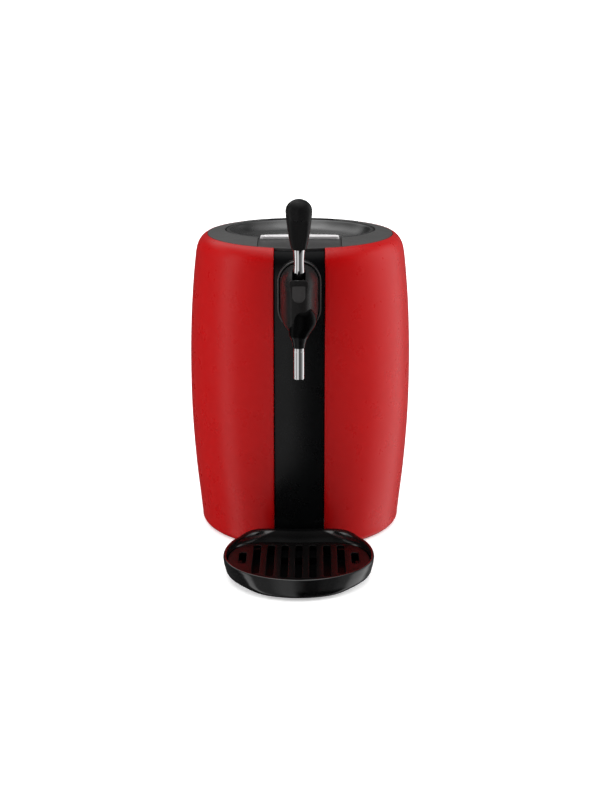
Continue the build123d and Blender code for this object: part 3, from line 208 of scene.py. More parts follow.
# the tongue and lip outside the dish are the collar's satin grey
nt_ = m_.node_tree
sh_ = nt_.nodes["Principled BSDF"]
vec_ = coords(nt_)
off_ = nt_.nodes.new("ShaderNodeVectorMath")
off_.operation = "SUBTRACT"
off_.inputs[1].default_value = (0.0, WELL_Y * MM, 0.0)
nt_.links.new(vec_, off_.inputs[0])
flat_ = nt_.nodes.new("ShaderNodeVectorMath")
flat_.operation = "MULTIPLY"
flat_.inputs[1].default_value = (1.0, 1.0, 0.0)
nt_.links.new(off_.outputs[0], flat_.inputs[0])
len_ = nt_.nodes.new("ShaderNodeVectorMath")
len_.operation = "LENGTH"
nt_.links.new(flat_.outputs[0], len_.inputs[0])
rim_ = span(nt_, len_.outputs["Value"], 0.0, 1.0, 0.0880, 0.0886)
was_ = sh_.inputs["Base Color"].links[0].from_socket
mx_ = nt_.nodes.new("ShaderNodeMix")
mx_.data_type = "RGBA"
nt_.links.new(rim_, mx_.inputs["Factor"])
nt_.links.new(was_, mx_.inputs["A"])
mx_.inputs["B"].default_value = (0.014, 0.0137, 0.0137, 1)
nt_.links.new(mx_.outputs["Result"], sh_.inputs["Base Color"])
r_was = sh_.inputs["Roughness"].links[0].from_socket
nt_.links.new(mathn(nt_, "ADD", r_was, span(nt_, rim_, 0.0, 0.16)), sh_.inputs["Roughness"])
nt_.links.new(span(nt_, rim_, 0.8, 0.40), sh_.inputs["Specular IOR Level"])
MATS["lid_grey"] = m_
MATS["grip_silver"] = metal("grip_silver_m", (0.78, 0.76, 0.765), (0.34, 0.46), (0.04, 1.0, 1.0))
MATS["grip_silver"].node_tree.nodes["Principled BSDF"].inputs["Metallic"].default_value = 0.45
MATS["lens_dark"] = plastic("lens_dark_m", (0.01, 0.01, 0.014), (0.06, 0.1), 0.1, coat=0.5)
MATS["liner_plastic"] = plastic("liner_plastic_m", (0.46, 0.47, 0.48), (0.4, 0.5), 0.04, 1500.0, 0.00003)
MATS["seal_rubber"] = rubber("seal_rubber_m", (0.03, 0.03, 0.031))
MATS["bezel_black"] = plastic("bezel_black_m", (0.006, 0.0062, 0.0065), (0.24, 0.32), 0.1, 1800.0, 0.00001, spec=0.9)
MATS["tap_black"] = plastic("tap_black_m", (0.0105, 0.0100, 0.0100), (0.24, 0.34), 0.12, 1900.0, 0.000008, 16.0, 0.00008,
                            spec=0.9, ior=1.11)
MATS["lever_chrome"] = metal("lever_chrome_m", (0.80, 0.80, 0.81), (0.06, 0.11))
MATS["handle_black"] = plastic("handle_black_m", (0.0075, 0.0074, 0.0075), (0.20, 0.30), 0.15, 1400.0, 0.000012, 25.0, 0.0001,
                               spec=0.34, ior=1.18)
MATS["spring_steel"] = metal("spring_steel_m", (0.58, 0.58, 0.6), (0.2, 0.3))
m_, nt_, sh_ = new_material("tube_clear_m")
nt_.links.new(ramp(nt_, noise(nt_, coords(nt_), 60.0), [(0.3, (0.74, 0.77, 0.77)), (0.7, (0.84, 0.86, 0.86))]), sh_.inputs["Base Color"])
nt_.links.new(span(nt_, noise(nt_, coords(nt_), 90.0), 0.3, 0.42, 0.3, 0.7), sh_.inputs["Roughness"])
sh_.inputs["Transmission Weight"].default_value = 0.35
sh_.inputs["Subsurface Weight"].default_value = 0.2
sh_.inputs["Subsurface Scale"].default_value = 0.002
MATS["tube_clear"] = m_
MATS["nozzle_black"] = plastic("nozzle_black_m", (0.0030, 0.0030, 0.0032), (0.16, 0.24), 0.1, spec=0.6, ior=1.26)
MATS["spout_chrome"] = metal("spout_chrome_m", (0.80, 0.80, 0.81), (0.06, 0.11))
MATS["tray_black"] = plastic("tray_black_m", (0.0028, 0.0028, 0.0030), (0.08, 0.14), 0.1, 1500.0, 0.000004, 11.0, 0.00010,
                             spec=0.5, dust=0.003)
MATS["grille_black"] = plastic("grille_black_m", (0.002, 0.0017, 0.0017), (0.30, 0.40), 0.1, 1500.0, 0.00001, 14.0, 0.00010,
                               spec=0.10, dust=0.004)



def dull(name, mask, spec, rough, painted_tone=1.0, ior=None):
    """Where the mask is 1 the surface is duller: a lower reflection and a higher roughness; its base colour is scaled
    by the last factor, a painted shade below 1 and a painted highlight above 1.
    """
    nt = MATS[name].node_tree
    sh = nt.nodes["Principled BSDF"]
    was = sh.inputs["Specular IOR Level"].default_value
    nt.links.new(span(nt, mask, was, spec), sh.inputs["Specular IOR Level"])
    r = sh.inputs["Roughness"].links[0].from_socket
    nt.links.new(mathn(nt, "ADD", r, span(nt, mask, 0.0, rough)), sh.inputs["Roughness"])
    if ior:
        nt.links.new(span(nt, mask, sh.inputs["IOR"].default_value, ior), sh.inputs["IOR"])
    if painted_tone != 1.0:
        c = sh.inputs["Base Color"].links[0].from_socket
        sc = nt.nodes.new("ShaderNodeVectorMath")
        sc.operation = "SCALE"
        nt.links.new(c, sc.inputs[0])
        nt.links.new(span(nt, mask, 1.0, painted_tone), sc.inputs["Scale"])
        nt.links.new(sc.outputs[0], sh.inputs["Base Color"])


def place(nt, dx, dy, sx, sy):
    """Distance from a point in plan, in units of sx and sy."""
    vec = coords(nt)
    sep = nt.nodes.new("ShaderNodeSeparateXYZ")
    nt.links.new(vec, sep.inputs[0])
    x = mathn(nt, "MULTIPLY", mathn(nt, "SUBTRACT", sep.outputs["X"], dx), 1.0 / sx)
    y = mathn(nt, "MULTIPLY", mathn(nt, "SUBTRACT", sep.outputs["Y"], dy), 1.0 / sy)
    r = mathn(nt, "POWER", mathn(nt, "ADD", mathn(nt, "MULTIPLY", x, x), mathn(nt, "MULTIPLY", y, y)), 0.5)
    return r, sep.outputs["Z"]


# inside of the tray bowl, head of the column and the bulb over the spout are duller; the inside of the tray bowl and
# the top of the bulb also have their base colour dimmed as painted shade
nt_ = MATS["tray_black"].node_tree
r_, z_ = place(nt_, 0.0, (YC - 245.0) * MM, 0.0884, 0.0930)
# painted shade: the base colour inside the tray bowl is dimmed to 0.7
dull("tray_black", span(nt_, r_, 1.0, 0.0, 0.935, 0.955), 0.40, 0.20, 0.7, 1.12)
nt_ = MATS["column_black"].node_tree
r_, z_ = place(nt_, 0.0, 0.0, 1.0, 1.0)
dull("column_black", span(nt_, z_, 0.0, 1.0, 0.335, 0.350), 0.04, 0.10)
nt_ = MATS["nozzle_black"].node_tree
r_, z_ = place(nt_, 0.0, 0.0, 1.0, 1.0)
# painted shade: the base colour of the bulb and cup above 280 mm is dimmed to 0.3
dull("nozzle_black", span(nt_, z_, 0.0, 1.0, 0.2785, 0.2800), 0.12, 0.08, 0.3)

# the raised shield in the middle of the cover has its base colour raised 3.6 times, a painted highlight for the light
# falling on its face
nt_ = MATS["tap_black"].node_tree
sep_ = nt_.nodes.new("ShaderNodeSeparateXYZ")
nt_.links.new(coords(nt_), sep_.inputs[0])
wide_ = span(nt_, mathn(nt_, "ABSOLUTE", sep_.outputs["X"], 0.0), 1.0, 0.0, 0.0070, 0.0086)
tall_ = mathn(nt_, "MULTIPLY", span(nt_, sep_.outputs["Z"], 0.0, 1.0, 0.3175, 0.3225),
              span(nt_, sep_.outputs["Z"], 1.0, 0.0, 0.3440, 0.3450))
near_ = span(nt_, sep_.outputs["Y"], 1.0, 0.0, (YC - 232.6) * MM, (YC - 231.9) * MM)
dull("tap_black", mathn(nt_, "MULTIPLY", mathn(nt_, "MULTIPLY", wide_, tall_), near_), 0.9, 0.06, 3.6)

SLOT = {s["node"]: s["material_slot"] for s in frame["record"]["subparts"]}
for node, ob in frame["nodes"].items():
    ob.data.materials.clear()
    ob.data.materials.append(MATS[SLOT[node]])


# ------------------------------------------------------------------ mesh helpers (millimetres, y from the barrel axis)
def mesh_object(name, verts, faces, mat, body, slot, sharp=None):
    """A mesh from points in mm with y counted from the barrel axis, smooth shaded."""
    me = bpy.data.meshes.new(name)
    me.from_pydata([(x * MM, (y + YC) * MM, z * MM) for x, y, z in verts], [], [tuple(f) for f in faces])
    me.validate()
    me.update()
    me.polygons.foreach_set("use_smooth", [True] * len(me.polygons))
    if sharp is not None:
        me.set_sharp_from_angle(angle=math.radians(sharp))
    ob = bpy.data.objects.new(name, me)
    bpy.context.scene.collection.objects.link(ob)
    me.materials.append(mat)
    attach(ob, body)
    return ob


def skin(rings, cap_start=False, cap_end=False, closed=True):
    """Quads between rings of equal length; rings are lists of (x, y, z)."""
    n = len(rings[0])
    verts = [p for r in rings for p in r]
    faces = []
    for i in range(len(rings) - 1):
        for j in range(n if closed else n - 1):
            k = (j + 1) % n
            faces.append((i * n + j, i * n + k, (i + 1) * n + k, (i + 1) * n + j))
    if cap_start:
        faces.append(tuple(reversed(range(n))))
    if cap_end:
        faces.append(tuple(range((len(rings) - 1) * n, len(rings) * n)))
    return verts, faces


def join(*parts):
    verts, faces = [], []
    for v, f in parts:
        o = len(verts)
        verts += v
        faces += [tuple(i + o for i in q) for q in f]
    return verts, faces


def smooth(t):
    t = max(0.0, min(1.0, t))
    return t * t * (3 - 2 * t)


def interp(x, xs, ys):
    return float(np.interp(x, xs, ys))


def catmull(xs, ys, q):
    """Smooth curve through the points (monotone in xs), sampled at q."""
    xs = np.asarray(xs, float)
    ys = np.asarray(ys, float)
    d = np.diff(ys) / np.diff(xs)
    m = np.empty(len(xs))
    m[1:-1] = (d[:-1] * np.diff(xs)[1:] + d[1:] * np.diff(xs)[:-1]) / (xs[2:] - xs[:-2])
    m[0], m[-1] = d[0], d[-1]
    for i in range(len(d)):
        if d[i] == 0:
            m[i] = m[i + 1] = 0
        else:
            a, b = m[i] / d[i], m[i + 1] / d[i]
            if a * a + b * b > 9:
                t = 3 / math.sqrt(a * a + b * b)
                m[i], m[i + 1] = t * a * d[i], t * b * d[i]
    out = []
    for x in np.atleast_1d(q):
        i = int(np.clip(np.searchsorted(xs, x) - 1, 0, len(xs) - 2))
        h = xs[i + 1] - xs[i]
        t = (x - xs[i]) / h
        out.append((2 * t**3 - 3 * t**2 + 1) * ys[i] + (t**3 - 2 * t**2 + t) * h * m[i]
                   + (-2 * t**3 + 3 * t**2) * ys[i + 1] + (t**3 - t**2) * h * m[i + 1])
    return out if np.ndim(q) else out[0]


def revolve(profile, cx, cy, n=96, z0=0.0):
    """Rings of (r, z) about a vertical axis."""
    return [[(cx + r * math.cos(2 * math.pi * j / n), cy + r * math.sin(2 * math.pi * j / n), z + z0)
             for j in range(n)] for r, z in profile]


def rounded_rect(w, h, r, n=12):
    """Closed outline of a rectangle with round corners, centred, counter-clockwise."""
    r = min(r, w / 2 - 0.01, h / 2 - 0.01)
    pts = []
    for cx, cy, a0 in ((w / 2 - r, h / 2 - r, 0), (-w / 2 + r, h / 2 - r, 90), (-w / 2 + r, -h / 2 + r, 180),
                       (w / 2 - r, -h / 2 + r, 270)):
        for i in range(n + 1):
            a = math.radians(a0 + 90.0 * i / n)
            pts.append((cx + r * math.cos(a), cy + r * math.sin(a)))
    return pts


def raw_object(name, verts, faces):
    me = bpy.data.meshes.new(name)
    me.from_pydata([(x * MM, (y + YC) * MM, z * MM) for x, y, z in verts], [], [tuple(f) for f in faces])
    me.validate()
    me.update()
    ob = bpy.data.objects.new(name, me)
    bpy.context.scene.collection.objects.link(ob)
    return ob


def cut(ob, tool, op="DIFFERENCE"):
    """Boolean of two closed meshes, kept in the first."""
    m = ob.modifiers.new("cut", "BOOLEAN")
    m.operation = op
    m.solver = "EXACT"
    m.object = tool
    dg = bpy.context.evaluated_depsgraph_get()
    me = bpy.data.meshes.new_from_object(ob.evaluated_get(dg))
    ob.modifiers.clear()
    ob.data = me
    bpy.data.objects.remove(tool)


def finish(ob, slot, body, sharp=32.0):
    me = ob.data
    me.polygons.foreach_set("use_smooth", [True] * len(me.polygons))
    if sharp is not None:
        me.set_sharp_from_angle(angle=math.radians(sharp))
    me.materials.clear()
    me.materials.append(MATS[slot])
    me.polygons.foreach_set("material_index", [0] * len(me.polygons))
    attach(ob, body)
    return ob


def brick(name, x0, x1, y0, y1, z0, z1):
    v = [(x, y, z) for z in (z0, z1) for y in (y0, y1) for x in (x0, x1)]
    f = [(0, 2, 3, 1), (4, 5, 7, 6), (0, 1, 5, 4), (2, 6, 7, 3), (0, 4, 6, 2), (1, 3, 7, 5)]
    return raw_object(name, v, f)


def slab(name, loops, thick, roll, place, res=4):
    """Flat plate with rolled edges: closed outlines in mm (holes are inner loops), thick along its normal,
    place maps a local point (x, y, z) in mm to (x, y from the axis, z)."""
    cu = bpy.data.curves.new(name, "CURVE")
    cu.dimensions = "2D"
    cu.fill_mode = "BOTH"
    for loop in loops:
        sp = cu.splines.new("POLY")
        sp.points.add(len(loop) - 1)
        for p, (x, y) in zip(sp.points, loop):
            p.co = (x, y, 0, 1)
        sp.use_cyclic_u = True
    cu.extrude = thick / 2 - roll
    cu.bevel_depth = roll
    cu.bevel_resolution = res
    cu.offset = -roll
    ob = bpy.data.objects.new(name, cu)
    bpy.context.scene.collection.objects.link(ob)
    dg = bpy.context.evaluated_depsgraph_get()
    me = bpy.data.meshes.new_from_object(ob.evaluated_get(dg))
    bpy.data.objects.remove(ob)
    bm = bmesh.new()
    bm.from_mesh(me)
    bmesh.ops.remove_doubles(bm, verts=bm.verts, dist=0.0005)
    for v in bm.verts:
        x, y, z = place(v.co.x, v.co.y, v.co.z)
        v.co = (x * MM, (y + YC) * MM, z * MM)
    bmesh.ops.recalc_face_normals(bm, faces=bm.faces)
    bm.to_mesh(me)
    bm.free()
    out = bpy.data.objects.new(name, me)
    bpy.context.scene.collection.objects.link(out)
    return out


def slot_loop(w, h, n=20):
    """Outline of a vertical slot, w wide and h high overall."""
    r = w / 2
    s = h / 2 - r
    pts = [(r * math.cos(math.pi * i / n), s + r * math.sin(math.pi * i / n)) for i in range(n + 1)]
    return pts + [(-x, -y) for x, y in pts]


def arc3(p0, p1, p2, n):
    """Points of the circle through three points."""
    (ax, ay), (bx, by), (cx, cy) = p0, p1, p2
    d = 2 * (ax * (by - cy) + bx * (cy - ay) + cx * (ay - by))
    ux = ((ax * ax + ay * ay) * (by - cy) + (bx * bx + by * by) * (cy - ay) + (cx * cx + cy * cy) * (ay - by)) / d
    uy = ((ax * ax + ay * ay) * (cx - bx) + (bx * bx + by * by) * (ax - cx) + (cx * cx + cy * cy) * (bx - ax)) / d
    r = math.hypot(ax - ux, ay - uy)
    a0, a1 = math.atan2(ay - uy, ax - ux), math.atan2(cy - uy, cx - ux)
    return [(ux + r * math.cos(a0 + (a1 - a0) * i / n), uy + r * math.sin(a0 + (a1 - a0) * i / n)) for i in range(n + 1)]


# ------------------------------------------------------------------ red shells with rolled edges
def barrel_profile(t):
    foot = [(108.0, 2.0 + t), (108.15, 1.0 + t), (108.9, 0.6 + t), (113.5, 0.5 + t)]
    if t > 0:
        foot = [(108.0, 0.5 + t)] * 3 + [(113.5, 0.5 + t)]
    a = arc3((117.8, 0.5 + t), (123.5 - 0.7 * t, 3.2 + 0.7 * t), (125.4 - t, 9.5), 12)
    bz = [9.5, 32.0, 65.6, 97.6, 129.0, 161.0, 195.0, 226.0, 270.0, 300.0, 331.0, 346.0]
    bx = [125.4, 127.9, 131.8, 134.6, 136.7, 138.0, 138.4, 138.2, 136.7, 134.8, 132.0, 130.3]
    zs = list(np.linspace(9.5, 346.0, 56))[1:]
    b = list(zip([v - t for v in catmull(bz, bx, zs)], zs))
    cp = [(130.3 - t, 346.0), (128.5 - t, 354.0), (125.4 - 0.9 * t, 360.6 - 0.4 * t),
          (121.5 - 0.65 * t, 365.1 - 0.75 * t), (115.9 - 0.3 * t, 368.4 - 0.97 * t)]
    s = [0.0]
    for p, q in zip(cp, cp[1:]):
        s.append(s[-1] + math.hypot(q[0] - p[0], q[1] - p[1]))
    qs = np.linspace(0, s[-1], 17)[1:]
    c = list(zip(catmull(s, [p[0] for p in cp], qs), catmull(s, [p[1] for p in cp], qs)))
    if t == 0:
        c = c[:-1] + [(116.9, 368.05), (116.3, 368.15), (115.98, 368.0), (115.9, 367.5)]
    else:
        c = c[:-1] + [c[-1]] * 4
    out = foot + a + b + c
    return [(max(x, 115.9) if z > 345 else x, z) for x, z in out]


def shell(side, front_x, rear_x, t=3.2, e=1.3, n=88):
    outer, inner = barrel_profile(0.0), barrel_profile(t)
    us = [0.0, 0.04, 0.15, 0.34, 0.62, 0.95, e]
    rings = []
    for (r, z), (ri, zi) in zip(outer, inner):
        ring = []
        for u in us[:-1]:
            d = e - math.sqrt(max(0.0, e * e - (e - u) ** 2))
            x = front_x + u
            ring.append((side * x, -OVAL * math.sqrt((r - d) ** 2 - x * x), z))
        p0, p1 = -math.acos((front_x + e) / r), math.acos((rear_x + e) / r)
        for i in range(n + 1):
            p = p0 + (p1 - p0) * i / n
            ring.append((side * r * math.cos(p), OVAL * r * math.sin(p), z))
        for u in reversed(us[:-1]):
            d = e - math.sqrt(max(0.0, e * e - (e - u) ** 2))
            x = rear_x + u
            ring.append((side * x, OVAL * math.sqrt((r - d) ** 2 - x * x), z))
        m = len(ring)
        q0, q1 = math.acos(rear_x / ri), -math.acos(front_x / ri)
        for i in range(m):
            p = q0 + (q1 - q0) * i / (m - 1)
            ring.append((side * ri * math.cos(p), OVAL * ri * math.sin(p), zi))
        rings.append(ring)
    verts, faces = skin(rings)
    m = len(rings[0]) // 2
    for base, flip in ((0, False), ((len(rings) - 1) * 2 * m, True)):
        for j in range(m - 1):
            q = (base + j, base + j + 1, base + 2 * m - 2 - j, base + 2 * m - 1 - j)
            faces.append(q if flip else tuple(reversed(q)))
    if side > 0:
        faces = [tuple(reversed(f)) for f in faces]
    return verts, faces


# shells
for name, side in (("right_shell", 1), ("left_shell", -1)):
    v, f = shell(side, 30.2, 75.2, 3.0)
    ob = finish(raw_object("skin_" + name, v, f), "shell_red", "housing", 40.0)
    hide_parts(name)

# ------------------------------------------------------------------ drip tray
TRAY_Y = -245.0
RIM = [(88.4 * math.cos(math.radians(a)), 2.0 - 94.0 * math.sin(math.radians(a))) for a in (90, 76, 62, 48, 34, 20, 8)]
RIM = [(abs(x) if abs(x) > 1e-6 else 0.0, y) for x, y in RIM]
RIM += [(88.3, 8.0), (86.8, 27.0), (83.0, 46.0), (77.0, 62.5), (68.5, 76.0), (57.5, 86.0), (45.0, 91.0),
        (31.0, 91.6), (15.0, 90.2), (0.0, 89.6)]


def periodic(pts, per):
    """Dense points of a smooth closed curve through the points."""
    n = len(pts)
    out = []
    for i in range(n):
        p0, p1, p2, p3 = pts[i - 1], pts[i], pts[(i + 1) % n], pts[(i + 2) % n]
        t0 = 0.0
        t1 = t0 + math.dist(p0, p1) ** 0.5
        t2 = t1 + math.dist(p1, p2) ** 0.5
        t3 = t2 + math.dist(p2, p3) ** 0.5
        for k in range(per):
            t = t1 + (t2 - t1) * k / per
            q = []
            for c in range(2):
                a1 = (t1 - t) / (t1 - t0) * p0[c] + (t - t0) / (t1 - t0) * p1[c]
                a2 = (t2 - t) / (t2 - t1) * p1[c] + (t - t1) / (t2 - t1) * p2[c]
                a3 = (t3 - t) / (t3 - t2) * p2[c] + (t - t2) / (t3 - t2) * p3[c]
                b1 = (t2 - t) / (t2 - t0) * a1 + (t - t0) / (t2 - t0) * a2
                b2 = (t3 - t) / (t3 - t1) * a2 + (t - t1) / (t3 - t1) * a3
                q.append((t2 - t) / (t2 - t1) * b1 + (t - t1) / (t2 - t1) * b2)
            out.append(tuple(q))
    return out


LOOP = RIM + [(-x, y) for x, y in RIM[-2:0:-1]]
LOOP = periodic(LOOP, 7)


def tray_loop(inset, back=0.0):
    out = []
    for x, y in LOOP:
        r = math.hypot(x, y)
        k = (r - inset) / r
        out.append((x * k, y * k - back * max(0.0, y / 90.0)))
    return out


def rim_height(y):
    """Rim height by distance from the axis: level, then a step up under the body."""
    return 26.0 + 4.2 * smooth((y + 180.0) / 22.0)


def tray_ring(z, inset, back=0.0, rel=0.0):
    """A ring at height z; with rel it follows the rim: z counts down from it."""
    out = []
    loop = tray_loop(inset, back)
    if z < 23 and back == 0.0:
        # the lower wall is fuller at the front and the back than at the sides
        side = tray_loop(max(inset, float(catmull([1.2, 1.6, 5.0, 14.0, 31.0], [17.0, 15.0, 7.6, 2.6, 0.3], max(z, 1.2)))))
        loop = [(a[0] + (b[0] - a[0]) * k, a[1] + (b[1] - a[1]) * k)
                for a, b in zip(loop, side) for k in (smooth((0.93 - abs(a[1]) / math.hypot(*a)) / 0.30),)]
    for x, y in loop:
        yy = y + TRAY_Y
        out.append((x, yy, z + rel * (rim_height(yy) - 26.0)))
    return out


# outside up, over the rolled rim, and down the inside to the floor
WALL_Z, WALL_IN = [1.4, 2.6, 5.0, 9.0, 14.0, 20.0, 31.0], [10.5, 6.9, 4.1, 2.5, 1.6, 0.95, 0.3]
outside = [(2.4, 15.0, 0), (1.6, 13.4, 0), (1.3, 12.0, 0), (1.4, 10.5, 0)]
for z in (1.9, 2.6, 3.6, 5.0, 6.8, 9.0, 11.5, 14.0, 17.0, 20.0, 22.6):
    outside.append((z, float(catmull(WALL_Z, WALL_IN, z)), 0))
rings = [tray_ring(z, i, 0, 0.0 if z < 12 else (z - 12) / 14.0) for z, i, b in outside]
edge = float(catmull(WALL_Z, WALL_IN, 24.0))
for a in range(0, 181, 15):
    t = math.radians(a)
    rings.append(tray_ring(24.2 + 1.8 * math.sin(t), edge + 1.9 * (1 - math.cos(t)) * 0.97, 7.0 * a / 180.0, 1.0))
for z, i, b in ((23.0, 4.2, 13.0), (21.0, 4.4, 17.0), (19.0, 4.5, 19.2), (17.0, 4.6, 19.5), (14.0, 5.4, 19.5),
                (11.5, 6.6, 19.5), (9.0, 8.2, 19.5), (7.2, 10.2, 19.0), (5.8, 12.6, 18.2), (4.9, 15.4, 17.0),
                (4.6, 18.5, 16.6)):
    rings.append(tray_ring(z, i, b, max(0.0, (z - 17) / 9.0) if z > 17 else 0.0))
verts, faces = skin(rings)
n = len(rings[0])
faces.append(tuple(range(n)))
faces.append(tuple(reversed(range(len(verts) - n, len(verts)))))
tray = raw_object("tray_body", verts, [tuple(reversed(f)) for f in faces])
bm = bmesh.new()
bm.from_mesh(tray.data)
bmesh.ops.recalc_face_normals(bm, faces=bm.faces)
bm.to_mesh(tray.data)
bm.free()
cut(tray, brick("slot", -22.6, 22.6, -213.0, -120.0, -2.0, 10.5))
cut(tray, brick("channel", -25.0, 25.0, -218.0, -172.0, 3.4, 12.8), "UNION")
cut(tray, brick("slot", -22.6, 22.6, -213.0, -120.0, -2.0, 10.5))
for x, y in ((70, -245), (-70, -245), (46, -300), (-46, -300), (50, -196), (-50, -196)):
    cut(tray, brick("ledge", x - 4, x + 4, y - 4, y + 4, 3.6, 16.95), "UNION")
finish(tray, "tray_black", "tray", 34.0)
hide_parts("drip_tray")

# ------------------------------------------------------------------ grille
loops = [tray_loop(5.6, 20.5)]
for k in range(-4, 5):
    x = 16.4 * k
    if abs(k) == 4:
        front, rear = -13.0, 27.0
    else:
        front, rear = -(82.0 * math.sqrt(1.0 - (x / 84.0) ** 2) - 17.0), 55.0
    mid = (front + rear) / 2
    loops.append([(px + x, py + mid) for px, py in slot_loop(8.6, rear - front, 10)])
grille = slab("grille_bars", loops, 2.6, 0.9, lambda x, y, z: (x, y + TRAY_Y, z + 18.3), 3)
finish(grille, "grille_black", "grille", 30.0)
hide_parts("drip_grille")

# ------------------------------------------------------------------ tap: bezel, cover, sill and boss
def upright(y0):
    """Maps a plate drawn face on (x right, y up) to the front, its middle at y0."""
    return lambda x, y, z: (x, y0 - z, y + 316.5)


bezel = slab("bezel_ring", [slot_loop(51.4, 82.4, 40), slot_loop(45.4, 76.4, 40)], 21.0, 1.45, upright(-154.5), 5)
finish(bezel, "bezel_black", "housing", 30.0)
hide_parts("tap_bezel")

def section(d, shrink=0.0):
    """Stadium-shaped section of the cover, d forward of the axis; it closes in a round nose at 232."""
    u = min(1.0, (d - 163.5) / 69.3)
    w = 45.0 * (1 - u ** 2.35) ** (1 / 2.35) * 0.55 + 0.45 * (45.0 - 23.0 * u ** 1.5) * (1 - u ** 9) ** (1 / 9)
    h = 76.0 * (1 - u ** 4.2) ** (1 / 4.2)
    zc = 316.5 - 4.6 * u ** 2.2
    return [(px, -d, pz + zc) for px, pz in rounded_rect(w - 2 * shrink, h - 2 * shrink, (w / 2 - shrink) * 0.985, 22)]


ds = [163.5 + 69.3 * math.sin(math.radians(a)) for a in range(0, 88, 3)]
ds += [163.5 + 69.3 * math.sin(math.radians(a)) for a in (87.2, 88.3, 89.1, 89.6)]
ds = [min(d, 232.0) for d in ds if d < 232.02]
rings = [section(d) for d in ds]
verts, faces = skin(rings, cap_start=True, cap_end=True)
cover = raw_object("cover_body", verts, faces)
bm = bmesh.new()
bm.from_mesh(cover.data)
bmesh.ops.recalc_face_normals(bm, faces=bm.faces)
bm.to_mesh(cover.data)
bm.free()
inner = [section(163.5 + k, 2.2) for k in (0.0, 12.0, 24.0, 36.0, 46.0, 54.0)]
inner[0] = [(x, -160.0, z) for x, y, z in inner[0]]
inner += [section(222.0, 3.2), section(226.5, 5.0)]
v2, f2 = skin(inner, cap_start=True, cap_end=True)
core = raw_object("core", v2, f2)
bm = bmesh.new()
bm.from_mesh(core.data)
bmesh.ops.recalc_face_normals(bm, faces=bm.faces)
bm.to_mesh(core.data)
bm.free()
cut(cover, core)
# slot of the lever with round ends
lever_slot = slab("slot", [[(x, y) for x, y in slot_loop(15.6, 34.6, 12)]], 30.0, 0.01,
                  lambda x, y, z: (x, y - 209.2, z + 352.0), 1)
cut(cover, lever_slot)
finish(cover, "tap_black", "housing", 34.0)
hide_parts("tap_cover")

sill = slab("cover_sill", [rounded_rect(21.0, 9.6, 2.6, 8)], 5.2, 0.9,
            lambda x, y, z: (x, -229.1 - z, y + 340.0), 4)
finish(sill, "tap_black", "housing", 30.0)
shield = [(-7.4, -1.6)] + [(7.4 * math.cos(math.radians(a)), -1.6 + 7.8 * math.sin(math.radians(a)))
                           for a in range(189, 352, 9)] + [(7.4, -1.6), (7.4, 8.4)]
shield += [(6.2 + 1.2 * math.cos(math.radians(a)), 8.4 + 1.2 * math.sin(math.radians(a))) for a in (30, 60, 90)]
shield += [(-6.2 + 1.2 * math.cos(math.radians(a)), 8.4 + 1.2 * math.sin(math.radians(a))) for a in (90, 120, 150)]
shield += [(-7.4, 8.4)]
boss = slab("cover_boss", [shield], 6.0, 0.8, lambda x, y, z: (x, -229.7 - z, y + 329.0), 4)
finish(boss, "tap_black", "housing", 30.0)

# ------------------------------------------------------------------ lever handle
LEAN = math.radians(9.0)
PIVOT = (-203.0, 336.0)


def lever_point(t, a, b):
    """t along the lever, a forward of its axis, b to the right."""
    return (b, PIVOT[0] - math.sin(LEAN) * t - math.cos(LEAN) * a, PIVOT[1] + math.cos(LEAN) * t - math.sin(LEAN) * a)


HT = [42.6, 50.0, 60.0, 70.0, 80.0, 87.4, 95.0, 99.4]
HR = [8.7, 10.3, 12.3, 13.6, 14.7, 15.2, 13.2, 7.6]


def handle_radius(t):
    if t <= 87.4:
        return float(catmull(HT[:6] + [90.0], HR[:6] + [15.1], t))
    k = min(1.0, (t - 87.4) / 13.3)
    return 15.2 * math.sqrt(max(0.0, 1 - k * k)) ** 1.06


def soft_min(a, b, k):
    h = max(0.0, min(1.0, 0.5 + 0.5 * (b - a) / k))
    return b + (a - b) * h - k * h * (1 - h)


ts = [42.6 + 0.5 * (1 - math.cos(math.radians(a))) * 1.2 for a in (0, 45, 90)] + list(np.linspace(44.4, 87.4, 70))
ts += [87.4 + 13.3 * math.sin(math.radians(a)) for a in (6, 12, 18, 24, 30, 36, 42, 48, 54, 60, 66, 72, 77, 81, 84.5, 87, 89)]
rings = [[lever_point(42.6, 6.4 * math.cos(2 * math.pi * j / 128), 6.4 * math.sin(2 * math.pi * j / 128)) for j in range(128)],
         [lever_point(42.6, 7.9 * math.cos(2 * math.pi * j / 128), 7.9 * math.sin(2 * math.pi * j / 128)) for j in range(128)]]
for i, t in enumerate(ts):
    r = handle_radius(t)
    if i < 3:
        r -= 0.8 * (1 - i / 2.6) ** 2
    face = 8.95 + (t - 60.0) * math.tan(math.radians(7.4))
    lift = smooth((t - 77.5) / 4.5)
    face = face + lift * 9.0
    ring = []
    for j in range(128):
        p = 2 * math.pi * j / 128
        a, b = r * math.cos(p), r * math.sin(p)
        if t < 84:
            a = soft_min(a, face, 1.1) if a > 0 else a
        ring.append(lever_point(t, a, b))
    rings.append(ring)
verts, faces = skin(rings, cap_start=True, cap_end=True)
handle = raw_object("handle_body", verts, faces)
bm = bmesh.new()
bm.from_mesh(handle.data)
bmesh.ops.recalc_face_normals(bm, faces=bm.faces)
bm.to_mesh(handle.data)
bm.free()
finish(handle, "handle_black", "lever", 50.0)
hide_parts("lever_handle")

